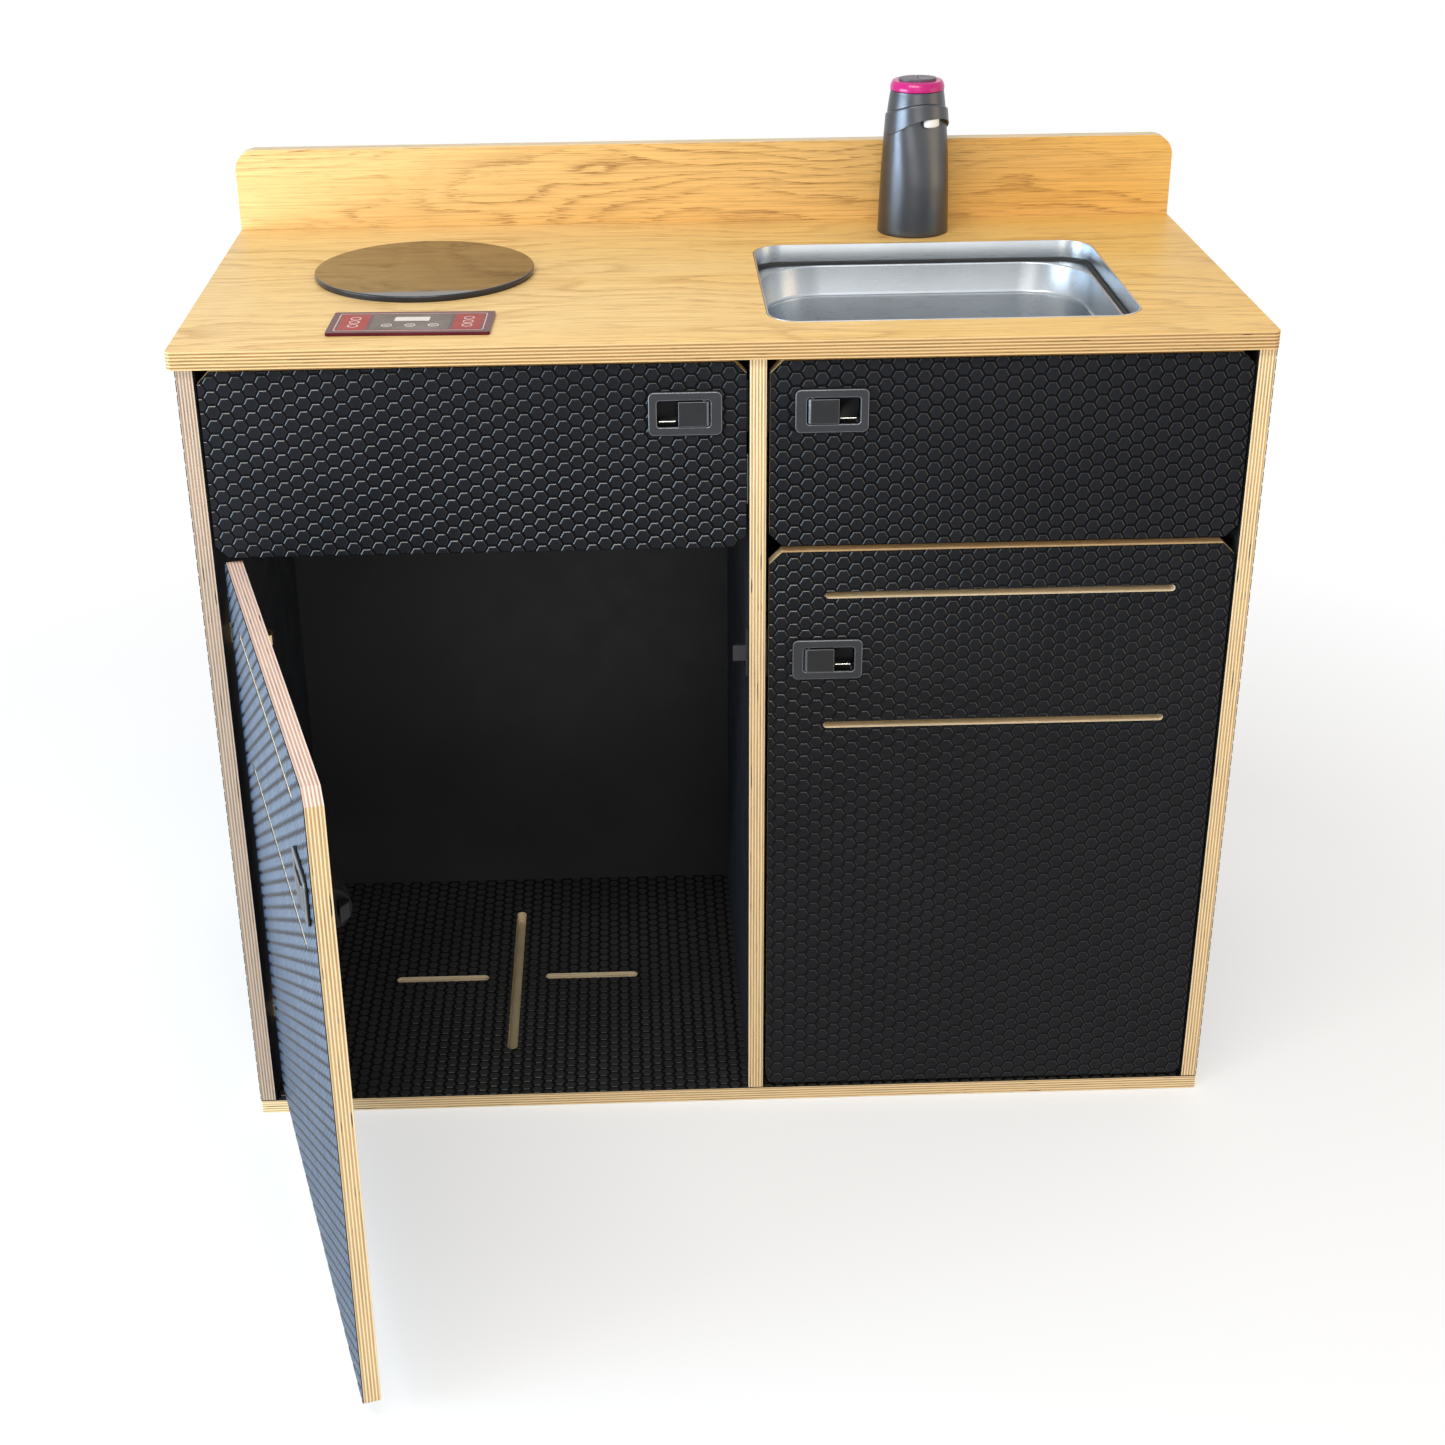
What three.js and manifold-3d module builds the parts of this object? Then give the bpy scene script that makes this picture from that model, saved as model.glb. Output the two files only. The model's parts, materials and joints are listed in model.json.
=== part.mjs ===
// Side furniture unit for a small camper van: plywood carcass, worktop with hob and sink,
// one drawer, three doors, slam latches and a rechargeable tap.
// Millimetres, +X right, +Y to the back, +Z up. The origin is on the floor under the middle
// of the carcass footprint. The lower left door stands open, everything else is closed.

import * as THREE from 'three';
import { mergeVertices } from 'three/addons/utils/BufferGeometryUtils.js';
import Module from 'manifold-3d';

const wasm = await Module();
wasm.setup();

// Carcass
const carcassWidth = 925;
const carcassDepth = 430;
const worktopHeight = 774;
const board = 15;
const baseCornerRadius = 2;
const worktopThickness = 16;
const dividerOffset = 25;

// Worktop and upstand
const worktopFrontOverhang = 6;
const worktopLeftOverhang = 5.5;
const worktopCornerRadius = 5;
const upstandHeight = 78.5;
const upstandCornerRadius = 20;

// Fronts
const upperFrontHeight = 167;
const sideReveal = 2.5;
const topReveal = 3;
const bottomReveal = 4;
const rowGap = 6;
const topChamfer = 11;
const bottomCorner = 9;
const leftDoorOpenAngle = THREE.MathUtils.degToRad(74.3);

// Ventilation slots in the doors and the slot cross in the floor
const doorSlotLength = 310;
const doorSlotHeight = 6;
const upperSlotDrop = 41.5;
const lowerSlotDrop = 169;
const floorSlotWidth = 10;
const floorCrossWidth = 257;
const floorCrossDepth = 267;
const floorCrossGap = 61;
const floorCrossShiftX = -3.5;
const floorCrossShiftY = 3;

// Clearances and overruns
const seatGap = 0.3;
const slideGap = 0.5;
const overrun = 2;
const weldTolerance = 0.001;

// Slam latch, seen from the front with its bolt pointing to +X
const bezelWidth = 62.5;
const bezelHeight = 41.5;
const bezelProud = 3;
const bezelCorner = 6;
const bezelBevel = 1.2;
const windowWidth = 45.5;
const windowHeight = 25.5;
const windowCorner = 2.8;
const windowShift = -1.3;
const pocketDepth = 13.5;
const throatLength = 54;
const throatHeight = 34;
const throatCorner = 4;
const barrelDepth = 14.2;
const latchEdgeMargin = 21;
const barrelEdgeMargin = 12;
const doorLatchDrop = 102.5;
const upperLatchDrop = 44;
const boltEdgeMargin = 1;
const boltLength = 53;
const boltWidth = 12;
const boltThickness = 8;
const boltFace = 19;
const boltNose = 7;
const boltNotchDepth = 4.2;
const boltNotchWidth = 6.6;
const paddleWidth = 26.5;
const paddleHeight = 23.5;
const paddleProud = 4.5;
const paddleThickness = 5;
const paddleKnuckle = 4;
const paddlePivotDepth = -0.5;
const paddlePinRadius = 1.5;
const paddlePinLength = 2.5;
const paddleEndGap = 0.8;
const leverWidth = 4;
const leverHeight = 5;
const leverReach = 23;
const leverSwing = 11;

// Striker on the divider
const strikerPlateHeight = 46;
const strikerPlateDepth = 13;
const strikerPlateThickness = 2.5;
const strikerTongueHeight = 15;
const strikerTongueReach = 14;
const strikerTongueThickness = 3.6;
const strikerScrewSpacing = 26;
const strikerScrewRadius = 1.6;

// Concealed cup hinge, seen on a door hung on its left
const hingePivotInset = 12;
const hingePivotDepth = 6;
const hingeEndMargin = 80;
const smallDoorHingeMargin = 40;
const cupRadius = 17.5;
const cupWall = 1.1;
const cupBottom = 0.8;
const cupDepth = 12.3;
const cupCentreInset = 22;
const cupFlangeRadius = 19;
const cupFlangeThickness = 1.2;
const cupWingLength = 26;
const cupWingHalfWidth = 7;
const hingePinRadius = 1;
const hingePinHalfLength = 7.5;
const hingeLugHalfWidth = 2;
const hingeLugInner = 5.6;
const hingeLugOuter = 8;
const hingeBarrelRadius = 2.2;
const hingeArmHalfHeight = 5;
const hingeNeckThickness = 2.4;
const hingeNeckReach = 24.5;
const hingeNeckRise = 11.4;
const hingeNeckStart = 10.2;
const hingeNeckStartRise = 2.7;
const hingeNeckBack = 20;
const hingeArmBodyHeight = 7;
const hingeArmBodyHalfWidth = 6;
const hingeArmBodyLength = 42;
const hingeArmBodyStart = 30;
const hingePlateThickness = 2.5;
const hingePlateWing = 25;
const hingePlateWingWidth = 14;
const hingeScrewRadius = 2.4;

// Drawer
const drawerBackSpace = 50;
const drawerBoxHeight = 86;
const drawerBoxRise = 10;
const drawerBoard = 12;
const drawerBottomBoard = 6;
const drawerBottomRise = 6;
const drawerGrooveDepth = 5;
const runnerSpace = 13;
const runnerHeight = 45;
const runnerMetal = 1.2;
const runnerLip = 5;
const runnerChannelDepth = 9.5;
const runnerCentreRise = 45;
const runnerSetback = 6;
const slideHatHalfHeight = 13;
const slideFlangeStart = 3;
const slideFlangeEnd = 7.6;

// Hob and its control panel
const hobRadius = 101;
const hobWallMargin = 177;
const hobFrontGap = 37.5;
const hobGlassThickness = 4;
const hobGlassBevel = 1.2;
const hobTrimThickness = 2;
const hobTrimInset = 1.5;
const hobBodyRadius = 88;
const hobBodyDepth = 46;
const hobBodyRound = 8;
const controlWidth = 139.5;
const controlDepth = 64.5;
const controlThickness = 3;
const controlCorner = 2.5;
const controlShift = 1.5;
const controlFrontMargin = 61.3;
const controlSkew = THREE.MathUtils.degToRad(-2);
const controlBoxWidth = 118;
const controlBoxDepth = 46;
const controlBoxHeight = 27;
const controlBoxCorner = 4;

// Sink
const sinkWidth = 325;
const sinkFrontMargin = 49;
const sinkBackMargin = 116;
const sinkCorner = 29;
const sinkDividerMargin = 4.2;
const collarWall = 1.2;
const collarDrop = 21;
const collarProud = 0.4;
const collarLedge = 3;
const sealHeight = 3;
const sealWidth = 3;
const bowlSteel = 1;
const bowlRimWidth = 5;
const bowlRimCorner = 60;
const bowlShoulderDrop = 26;
const bowlShoulderStep = 3;
const bowlDepth = 148;
const bowlTaper = 7;
const bowlFillet = 14;
const bowlFloorFall = 3;
const drainRadius = 22.5;
const strainerRadius = 30;
const strainerDish = 9;
const strainerWall = 1.5;
const strainerTailRadius = 20;
const strainerSeatMargin = 1;
const strainerNeckGap = 0.75;
const strainerTailLength = 52;
const strainerHoleRadius = 2.6;
const strainerHoleCircle = 11;
const strainerHoles = 6;
const wasteNutRadius = 29;
const wasteNutHeight = 12;
const wasteNutSides = 8;

// Rechargeable tap
const tapShift = -0.7;
const tapBackMargin = 65;
const tapBaseRadius = 34.5;
const tapBaseRound = 1;
const tapWaistHeight = 83;
const tapWaistRadius = 31.4;
const tapBodyHeight = 112;
const tapBodyTopRadius = 29.2;
const tapArchDrop = 8;
const tapCapHeight = 21.5;
const tapCapTopRadius = 26.4;
const tapRingHeight = 11;
const tapRingTopRadius = 23.6;
const tapButtonHalfWidth = 18;
const tapButtonHalfDepth = 13.5;
const tapButtonHeight = 4;
const tapButtonProud = 2.2;
const tapButtonTravel = 1.2;
const tapButtonGroove = 0.8;
const tapSpoutAzimuth = THREE.MathUtils.degToRad(-50);
const tapVisorHeight = 7.5;
const tapScoopDepth = 13;
const tapScoopReach = 38;
const tapScoopHalfWidth = 30;
const tapNozzleRadius = 4.6;
const tapNozzleLength = 8;
const tapNozzleInset = 7;
const tapHoseHoleRadius = 15;
const tapSpigotRadius = 12;
const tapSpigotLength = 34;

// Places that follow from the driving sizes
const front = -carcassDepth / 2;
const back = carcassDepth / 2;
const carcassTop = worktopHeight - worktopThickness;
const leftInside = -carcassWidth / 2 + board;
const rightInside = carcassWidth / 2 - board;
const dividerLeft = dividerOffset - board / 2;
const dividerRight = dividerOffset + board / 2;
const insideBack = back - board;
const frontInner = front + board;
const upperTop = carcassTop - topReveal;
const upperBottom = upperTop - upperFrontHeight;
const doorTop = upperBottom - rowGap;
const doorBottom = board + bottomReveal;
const leftFrontWidth = dividerLeft - leftInside - 2 * sideReveal;
const rightFrontWidth = rightInside - dividerRight - 2 * sideReveal;
const latchInset = latchEdgeMargin + bezelWidth / 2;
const barrelEnd = latchInset - barrelEdgeMargin;
const boltTip = latchInset - boltEdgeMargin;
const windowEdge = windowShift + windowWidth / 2;
const paddlePivotX = windowEdge - paddleKnuckle - paddleEndGap;
const floorCrossX = (leftInside + dividerLeft) / 2 + floorCrossShiftX;
const floorCrossY = (front + insideBack) / 2 + floorCrossShiftY;
const controlY = front + controlFrontMargin;
const hobX = leftInside + hobWallMargin;
const hobY = controlY + controlDepth / 2 + hobFrontGap + hobRadius;
const controlX = hobX + controlShift;
const sinkDepth = carcassDepth - sinkFrontMargin - sinkBackMargin;
const sinkX = dividerRight + sinkDividerMargin + sinkWidth / 2;
const sinkY = front + sinkFrontMargin + sinkDepth / 2;
const tapX = sinkX + tapShift;
const tapY = back - tapBackMargin;

// Materials
const finish = (color, roughness, metalness) => (
  new THREE.MeshStandardMaterial({ color, roughness, metalness })
);
const hexBoard = () => finish(0x15161a, 0.5, 0);
const smoothBoard = () => finish(0x121214, 0.55, 0);
const oakLaminate = () => finish(0xe0b56c, 0.4, 0);
const plywood = () => finish(0xd8b07a, 0.6, 0);
const blackPlastic = () => finish(0x232527, 0.5, 0);
const nickel = () => finish(0xb8b2a4, 0.35, 1);
const zincSteel = () => finish(0xa9adb0, 0.4, 1);
const stainless = () => finish(0xc5c8cb, 0.28, 1);
const blackGlass = () => finish(0x0c0a09, 0.06, 0);
const redGlass = () => finish(0x5a0f12, 0.1, 0);
const rubber = () => finish(0x101010, 0.8, 0);
const gunmetal = () => finish(0x50545c, 0.35, 0.4);
const magenta = () => finish(0xc8157f, 0.3, 0);

// Solids: a closed geometry goes in, a closed geometry comes out

function solidOf(geometry) {
  const plain = geometry.clone();
  plain.deleteAttribute('normal');
  plain.deleteAttribute('uv');
  const merged = mergeVertices(plain, weldTolerance);
  const vertProperties = new Float32Array(merged.attributes.position.array);
  const triVerts = new Uint32Array(merged.index.array);
  return new wasm.Manifold(new wasm.Mesh({ numProp: 3, vertProperties, triVerts }));
}

function geometryOf(body) {
  const mesh = body.getMesh();
  const geometry = new THREE.BufferGeometry();
  geometry.setAttribute('position', new THREE.BufferAttribute(new Float32Array(mesh.vertProperties), 3));
  geometry.setIndex(new THREE.BufferAttribute(new Uint32Array(mesh.triVerts), 1));
  return geometry;
}

function cut(base, ...tools) {
  return geometryOf(tools.reduce((rest, tool) => rest.subtract(solidOf(tool)), solidOf(base)));
}

function join(base, ...others) {
  return geometryOf(others.reduce((sum, other) => sum.add(solidOf(other)), solidOf(base)));
}

function block(x0, x1, y0, y1, z0, z1) {
  const geometry = new THREE.BoxGeometry(Math.abs(x1 - x0), y1 - y0, z1 - z0);
  return geometry.translate((x0 + x1) / 2, (y0 + y1) / 2, (z0 + z1) / 2);
}

function rod(axis, radius, length, sides = 24) {
  const geometry = new THREE.CylinderGeometry(radius, radius, length, sides);
  if (axis === 'x') geometry.rotateZ(Math.PI / 2);
  if (axis === 'z') geometry.rotateX(Math.PI / 2);
  return geometry;
}

function lathe(profile, sides) {
  const points = profile.map(([radius, height]) => new THREE.Vector2(radius, height));
  return new THREE.LatheGeometry(points, sides).rotateX(Math.PI / 2);
}

// An outline in X and Y pulled up from z0 to z1
function alongZ(shape, z0, z1, curveSegments = 2) {
  const geometry = new THREE.ExtrudeGeometry(shape, { depth: z1 - z0, bevelEnabled: false, curveSegments });
  return geometry.translate(0, 0, z0);
}

// An outline in X and Z pulled from y0 back to y1
function alongY(shape, y0, y1, curveSegments = 2) {
  const geometry = new THREE.ExtrudeGeometry(shape, { depth: y1 - y0, bevelEnabled: false, curveSegments });
  return geometry.rotateX(Math.PI / 2).translate(0, y1, 0);
}

// An outline in Y and Z pulled from x0 to x1
function alongX(shape, x0, x1, curveSegments = 6) {
  const geometry = new THREE.ExtrudeGeometry(shape, { depth: x1 - x0, bevelEnabled: false, curveSegments });
  const turn = new THREE.Matrix4().makeBasis(
    new THREE.Vector3(0, 1, 0),
    new THREE.Vector3(0, 0, 1),
    new THREE.Vector3(1, 0, 0),
  );
  return geometry.applyMatrix4(turn).translate(x0, 0, 0);
}

// The same solid seen in a mirror across X = 0, with its faces turned out again
function mirrored(geometry) {
  const copy = geometry.index ? geometry.toNonIndexed() : geometry.clone();
  copy.deleteAttribute('normal');
  copy.deleteAttribute('uv');
  copy.scale(-1, 1, 1);
  const place = copy.attributes.position;
  for (let first = 0; first < place.count; first += 3) {
    const b = new THREE.Vector3().fromBufferAttribute(place, first + 1);
    const c = new THREE.Vector3().fromBufferAttribute(place, first + 2);
    place.setXYZ(first + 1, c.x, c.y, c.z);
    place.setXYZ(first + 2, b.x, b.y, b.z);
  }
  return copy;
}

const handed = (geometry, hand) => (hand > 0 ? geometry : mirrored(geometry));

// Outlines

function polygon(points) {
  return new THREE.Shape(points.map(([u, v]) => new THREE.Vector2(u, v)));
}

function roundedOutline(u0, u1, v0, v1, radius, Kind = THREE.Shape) {
  const shape = new Kind();
  shape.moveTo(u0 + radius, v0);
  shape.lineTo(u1 - radius, v0);
  shape.absarc(u1 - radius, v0 + radius, radius, -Math.PI / 2, 0, false);
  shape.lineTo(u1, v1 - radius);
  shape.absarc(u1 - radius, v1 - radius, radius, 0, Math.PI / 2, false);
  shape.lineTo(u0 + radius, v1);
  shape.absarc(u0 + radius, v1 - radius, radius, Math.PI / 2, Math.PI, false);
  shape.lineTo(u0, v0 + radius);
  shape.absarc(u0 + radius, v0 + radius, radius, Math.PI, Math.PI * 1.5, false);
  return shape;
}

function roundOutline(u, v, radius, Kind = THREE.Shape) {
  return roundedOutline(u - radius, u + radius, v - radius, v + radius, radius, Kind);
}

function slotHole(u0, u1, v0, v1) {
  const radius = Math.min(u1 - u0, v1 - v0) / 2;
  return roundedOutline(u0, u1, v0, v1, radius, THREE.Path);
}

// A lower door's outline: chamfered top corners and rounded lower corners
function doorOutline(x0, x1, z0, z1) {
  const shape = new THREE.Shape();
  shape.moveTo(x0 + bottomCorner, z0);
  shape.lineTo(x1 - bottomCorner, z0);
  shape.absarc(x1 - bottomCorner, z0 + bottomCorner, bottomCorner, -Math.PI / 2, 0, false);
  shape.lineTo(x1, z1 - topChamfer);
  shape.lineTo(x1 - topChamfer, z1);
  shape.lineTo(x0 + topChamfer, z1);
  shape.lineTo(x0, z1 - topChamfer);
  shape.lineTo(x0, z0 + bottomCorner);
  shape.absarc(x0 + bottomCorner, z0 + bottomCorner, bottomCorner, Math.PI, Math.PI * 1.5, false);
  return shape;
}

// An upper front's outline, with all four corners chamfered
function upperOutline(x0, x1, z0, z1) {
  return polygon([
    [x0 + topChamfer, z0],
    [x1 - topChamfer, z0],
    [x1, z0 + topChamfer],
    [x1, z1 - topChamfer],
    [x1 - topChamfer, z1],
    [x0 + topChamfer, z1],
    [x0, z1 - topChamfer],
    [x0, z0 + topChamfer],
  ]);
}

// The hole in a front that the latch drops into, around the latch's own centre
function throatHole(centreX, centreZ) {
  const halfLength = throatLength / 2 + seatGap;
  const halfHeight = throatHeight / 2 + seatGap;
  const corner = throatCorner + seatGap;
  return roundedOutline(
    centreX - halfLength,
    centreX + halfLength,
    centreZ - halfHeight,
    centreZ + halfHeight,
    corner,
    THREE.Path,
  );
}

// The outline of a bent strip of even thickness along a line of points
function stripOutline(line, thickness) {
  const sides = [1, -1].map((sign) => line.map(([x, y], index) => {
    const before = line[Math.max(index - 1, 0)];
    const after = line[Math.min(index + 1, line.length - 1)];
    const into = new THREE.Vector2(x - before[0], y - before[1]).normalize();
    const out = new THREE.Vector2(after[0] - x, after[1] - y).normalize();
    if (index === 0) into.copy(out);
    if (index === line.length - 1) out.copy(into);
    const along = new THREE.Vector2().addVectors(into, out).normalize();
    const mitre = thickness / 2 / along.dot(into);
    return [x - along.y * mitre * sign, y + along.x * mitre * sign];
  }));
  return polygon([...sides[0], ...sides[1].reverse()]);
}

function add(parent, name, geometry, material) {
  const mesh = new THREE.Mesh(geometry, material);
  mesh.name = name;
  parent.add(mesh);
  return mesh;
}

const unit = new THREE.Group();

// Carcass panels

function basePanel() {
  const outline = roundedOutline(-carcassWidth / 2, carcassWidth / 2, front, back, baseCornerRadius);
  const halfSlot = floorSlotWidth / 2;
  const crossLeft = floorCrossX - floorCrossWidth / 2;
  const crossRight = floorCrossX + floorCrossWidth / 2;
  const gapLeft = floorCrossX - floorCrossGap / 2;
  const gapRight = floorCrossX + floorCrossGap / 2;
  outline.holes.push(slotHole(crossLeft, gapLeft, floorCrossY - halfSlot, floorCrossY + halfSlot));
  outline.holes.push(slotHole(gapRight, crossRight, floorCrossY - halfSlot, floorCrossY + halfSlot));
  const crossFront = floorCrossY - floorCrossDepth / 2;
  const crossBack = floorCrossY + floorCrossDepth / 2;
  outline.holes.push(slotHole(floorCrossX - halfSlot, floorCrossX + halfSlot, crossFront, crossBack));
  return alongZ(outline, 0, board);
}

function buildCarcass(parent) {
  add(parent, 'base_panel', basePanel(), hexBoard());
  const left = block(-carcassWidth / 2, leftInside, front, back, board, carcassTop);
  const right = block(rightInside, carcassWidth / 2, front, back, board, carcassTop);
  const divider = block(dividerLeft, dividerRight, front, insideBack, board, carcassTop);
  add(parent, 'left_side_panel', left, hexBoard());
  add(parent, 'right_side_panel', right, hexBoard());
  add(parent, 'divider_panel', divider, hexBoard());
  const rear = block(leftInside, rightInside, insideBack, back, board, carcassTop);
  add(parent, 'back_panel', rear, smoothBoard());
}

// Worktop with its four openings, and the upstand behind it

function worktopPanel() {
  const x0 = -carcassWidth / 2 - worktopLeftOverhang;
  const x1 = carcassWidth / 2;
  const y0 = front - worktopFrontOverhang;
  const corner = worktopCornerRadius;
  const outline = new THREE.Shape();
  outline.moveTo(x0 + corner, y0);
  outline.lineTo(x1 - corner, y0);
  outline.absarc(x1 - corner, y0 + corner, corner, -Math.PI / 2, 0, false);
  outline.lineTo(x1, back);
  outline.lineTo(x0, back);
  outline.lineTo(x0, y0 + corner);
  outline.absarc(x0 + corner, y0 + corner, corner, Math.PI, Math.PI * 1.5, false);
  const hobHole = roundOutline(hobX, hobY, hobBodyRadius + seatGap, THREE.Path);
  const hoseHole = roundOutline(tapX, tapY, tapHoseHoleRadius, THREE.Path);
  const sinkHole = roundedOutline(
    sinkX - sinkWidth / 2 - seatGap,
    sinkX + sinkWidth / 2 + seatGap,
    sinkY - sinkDepth / 2 - seatGap,
    sinkY + sinkDepth / 2 + seatGap,
    sinkCorner + seatGap,
    THREE.Path,
  );
  outline.holes.push(hobHole, hoseHole, sinkHole);
  const panel = alongZ(outline, carcassTop, worktopHeight, 5);
  const controlHole = alongZ(
    roundedOutline(
      -controlBoxWidth / 2 - seatGap,
      controlBoxWidth / 2 + seatGap,
      -controlBoxDepth / 2 - seatGap,
      controlBoxDepth / 2 + seatGap,
      controlBoxCorner + seatGap,
    ),
    carcassTop - overrun,
    worktopHeight + overrun,
  );
  controlHole.rotateZ(controlSkew).translate(controlX, controlY, 0);
  return cut(panel, controlHole);
}

function upstandPanel() {
  const x0 = -carcassWidth / 2 - worktopLeftOverhang;
  const x1 = carcassWidth / 2;
  const z1 = worktopHeight + upstandHeight;
  const corner = upstandCornerRadius;
  const outline = new THREE.Shape();
  outline.moveTo(x0, worktopHeight);
  outline.lineTo(x1, worktopHeight);
  outline.lineTo(x1, z1 - corner);
  outline.absarc(x1 - corner, z1 - corner, corner, 0, Math.PI / 2, false);
  outline.lineTo(x0 + corner, z1);
  outline.absarc(x0 + corner, z1 - corner, corner, Math.PI / 2, Math.PI, false);
  return alongY(outline, back - board, back);
}

function buildWorktop(parent) {
  add(parent, 'worktop', worktopPanel(), oakLaminate());
  add(parent, 'upstand', upstandPanel(), oakLaminate());
}

// Slam latch. Its own frame: centre of the bezel on the front's outer face, +X to the edge
// that the bolt leaves by, +Y into the cupboard.

function barrelSolid() {
  const radius = ((throatHeight / 2) ** 2 + barrelDepth ** 2) / (2 * barrelDepth);
  const inner = board + seatGap;
  const centre = inner + barrelDepth - radius;
  const reach = Math.asin(throatHeight / 2 / radius);
  const outline = new THREE.Shape();
  outline.absarc(centre, 0, radius, -reach, reach, false);
  outline.closePath();
  return alongX(outline, -throatLength / 2, barrelEnd);
}

function latchCase() {
  const bezel = new THREE.ExtrudeGeometry(
    roundedOutline(
      -bezelWidth / 2 + bezelBevel,
      bezelWidth / 2 - bezelBevel,
      -bezelHeight / 2 + bezelBevel,
      bezelHeight / 2 - bezelBevel,
      bezelCorner - bezelBevel,
    ),
    {
      depth: bezelProud - seatGap - bezelBevel,
      bevelThickness: bezelBevel,
      bevelSize: bezelBevel,
      bevelSegments: 1,
      curveSegments: 2,
    },
  );
  bezel.rotateX(Math.PI / 2).translate(0, -seatGap - bezelBevel, 0);
  const backHalf = block(-bezelWidth, bezelWidth, -seatGap, overrun, -bezelHeight, bezelHeight);
  const flatBezel = cut(bezel, backHalf);
  const throat = alongY(
    roundedOutline(-throatLength / 2, throatLength / 2, -throatHeight / 2, throatHeight / 2, throatCorner),
    -seatGap - overrun / 2,
    board + seatGap + overrun,
  );
  const body = join(flatBezel, throat, barrelSolid());
  const pocket = alongY(
    roundedOutline(
      windowShift - windowWidth / 2,
      windowShift + windowWidth / 2,
      -windowHeight / 2,
      windowHeight / 2,
      windowCorner,
    ),
    -bezelProud - overrun,
    pocketDepth,
  );
  const channel = block(
    boltTip - boltLength - leverSwing - slideGap,
    barrelEnd + overrun,
    boltFace - slideGap,
    boltFace + boltThickness + slideGap,
    -boltWidth / 2 - slideGap,
    boltWidth / 2 + slideGap,
  );
  const leverSlot = block(
    paddlePivotX - leverWidth / 2 - leverSwing - slideGap,
    paddlePivotX + leverWidth / 2 + 2 * slideGap,
    pocketDepth - overrun / 2,
    boltFace,
    -leverHeight / 2 - 2 * slideGap,
    leverHeight / 2 + 2 * slideGap,
  );
  const pinHole = rod('z', paddlePinRadius + seatGap, windowHeight + 2 * paddlePinLength, 12);
  pinHole.translate(paddlePivotX, paddlePivotDepth, 0);
  return cut(body, pocket, channel, leverSlot, pinHole);
}

function latchPaddle() {
  const half = paddleHeight / 2;
  const face = -paddleProud;
  const plate = block(
    paddlePivotX + paddleKnuckle - paddleWidth,
    paddlePivotX,
    face,
    face + paddleThickness,
    -half,
    half,
  );
  const knuckle = rod('z', paddleKnuckle, paddleHeight, 16).translate(paddlePivotX, paddlePivotDepth, 0);
  const pin = rod('z', paddlePinRadius, windowHeight + 2 * paddlePinLength - 2 * seatGap, 12);
  pin.translate(paddlePivotX, paddlePivotDepth, 0);
  const lever = alongZ(
    polygon([
      [paddlePivotX - leverWidth / 2, paddlePivotDepth],
      [paddlePivotX + leverWidth / 2, paddlePivotDepth],
      [paddlePivotX + leverWidth / 2, paddlePivotDepth + leverReach],
      [paddlePivotX - leverWidth / 2, paddlePivotDepth + leverReach],
    ]),
    -leverHeight / 2,
    leverHeight / 2,
  );
  return join(plate, knuckle, pin, lever);
}

function latchBolt() {
  const rear = boltFace + boltThickness;
  const outline = polygon([
    [boltTip - boltLength, boltFace],
    [boltTip, boltFace],
    [boltTip - boltNose, rear],
    [boltTip - boltLength, rear],
  ]);
  const bar = alongZ(outline, -boltWidth / 2, boltWidth / 2);
  const notch = block(
    paddlePivotX - boltNotchWidth / 2,
    paddlePivotX + boltNotchWidth / 2,
    boltFace - overrun,
    boltFace + boltNotchDepth,
    -boltWidth,
    boltWidth,
  );
  return cut(bar, notch);
}

function buildLatch(parent, name, x, z, hand) {
  const latch = new THREE.Group();
  latch.position.set(x, 0, z);
  add(latch, `${name}_latch_case`, handed(latchCase(), hand), blackPlastic());
  add(latch, `${name}_latch_paddle`, handed(latchPaddle(), hand), blackPlastic());
  add(latch, `${name}_latch_bolt`, handed(latchBolt(), hand), blackPlastic());
  parent.add(latch);
}

// Striker: a plate on the divider with a tongue that the bolt stands behind

function strikerSolid() {
  const y0 = board + seatGap;
  const plate = block(
    -strikerPlateThickness,
    0,
    y0,
    y0 + strikerPlateDepth,
    -strikerPlateHeight / 2,
    strikerPlateHeight / 2,
  );
  const tongue = block(
    -strikerTongueReach,
    0,
    y0,
    y0 + strikerTongueThickness - seatGap,
    -strikerTongueHeight / 2,
    strikerTongueHeight / 2,
  );
  const holes = [-1, 1].map((sign) => {
    const hole = rod('x', strikerScrewRadius, 2 * (strikerPlateThickness + overrun), 8);
    return hole.translate(0, y0 + strikerPlateDepth / 2, (sign * strikerScrewSpacing) / 2);
  });
  return cut(join(plate, tongue), ...holes);
}

function buildStriker(parent, name, z, hand) {
  const striker = add(parent, `${name}_striker`, handed(strikerSolid(), hand), blackPlastic());
  striker.position.set(hand > 0 ? dividerLeft : dividerRight, front, z);
}

// Concealed hinge. Its own frame: the pivot, with the front hung on its left.

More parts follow.
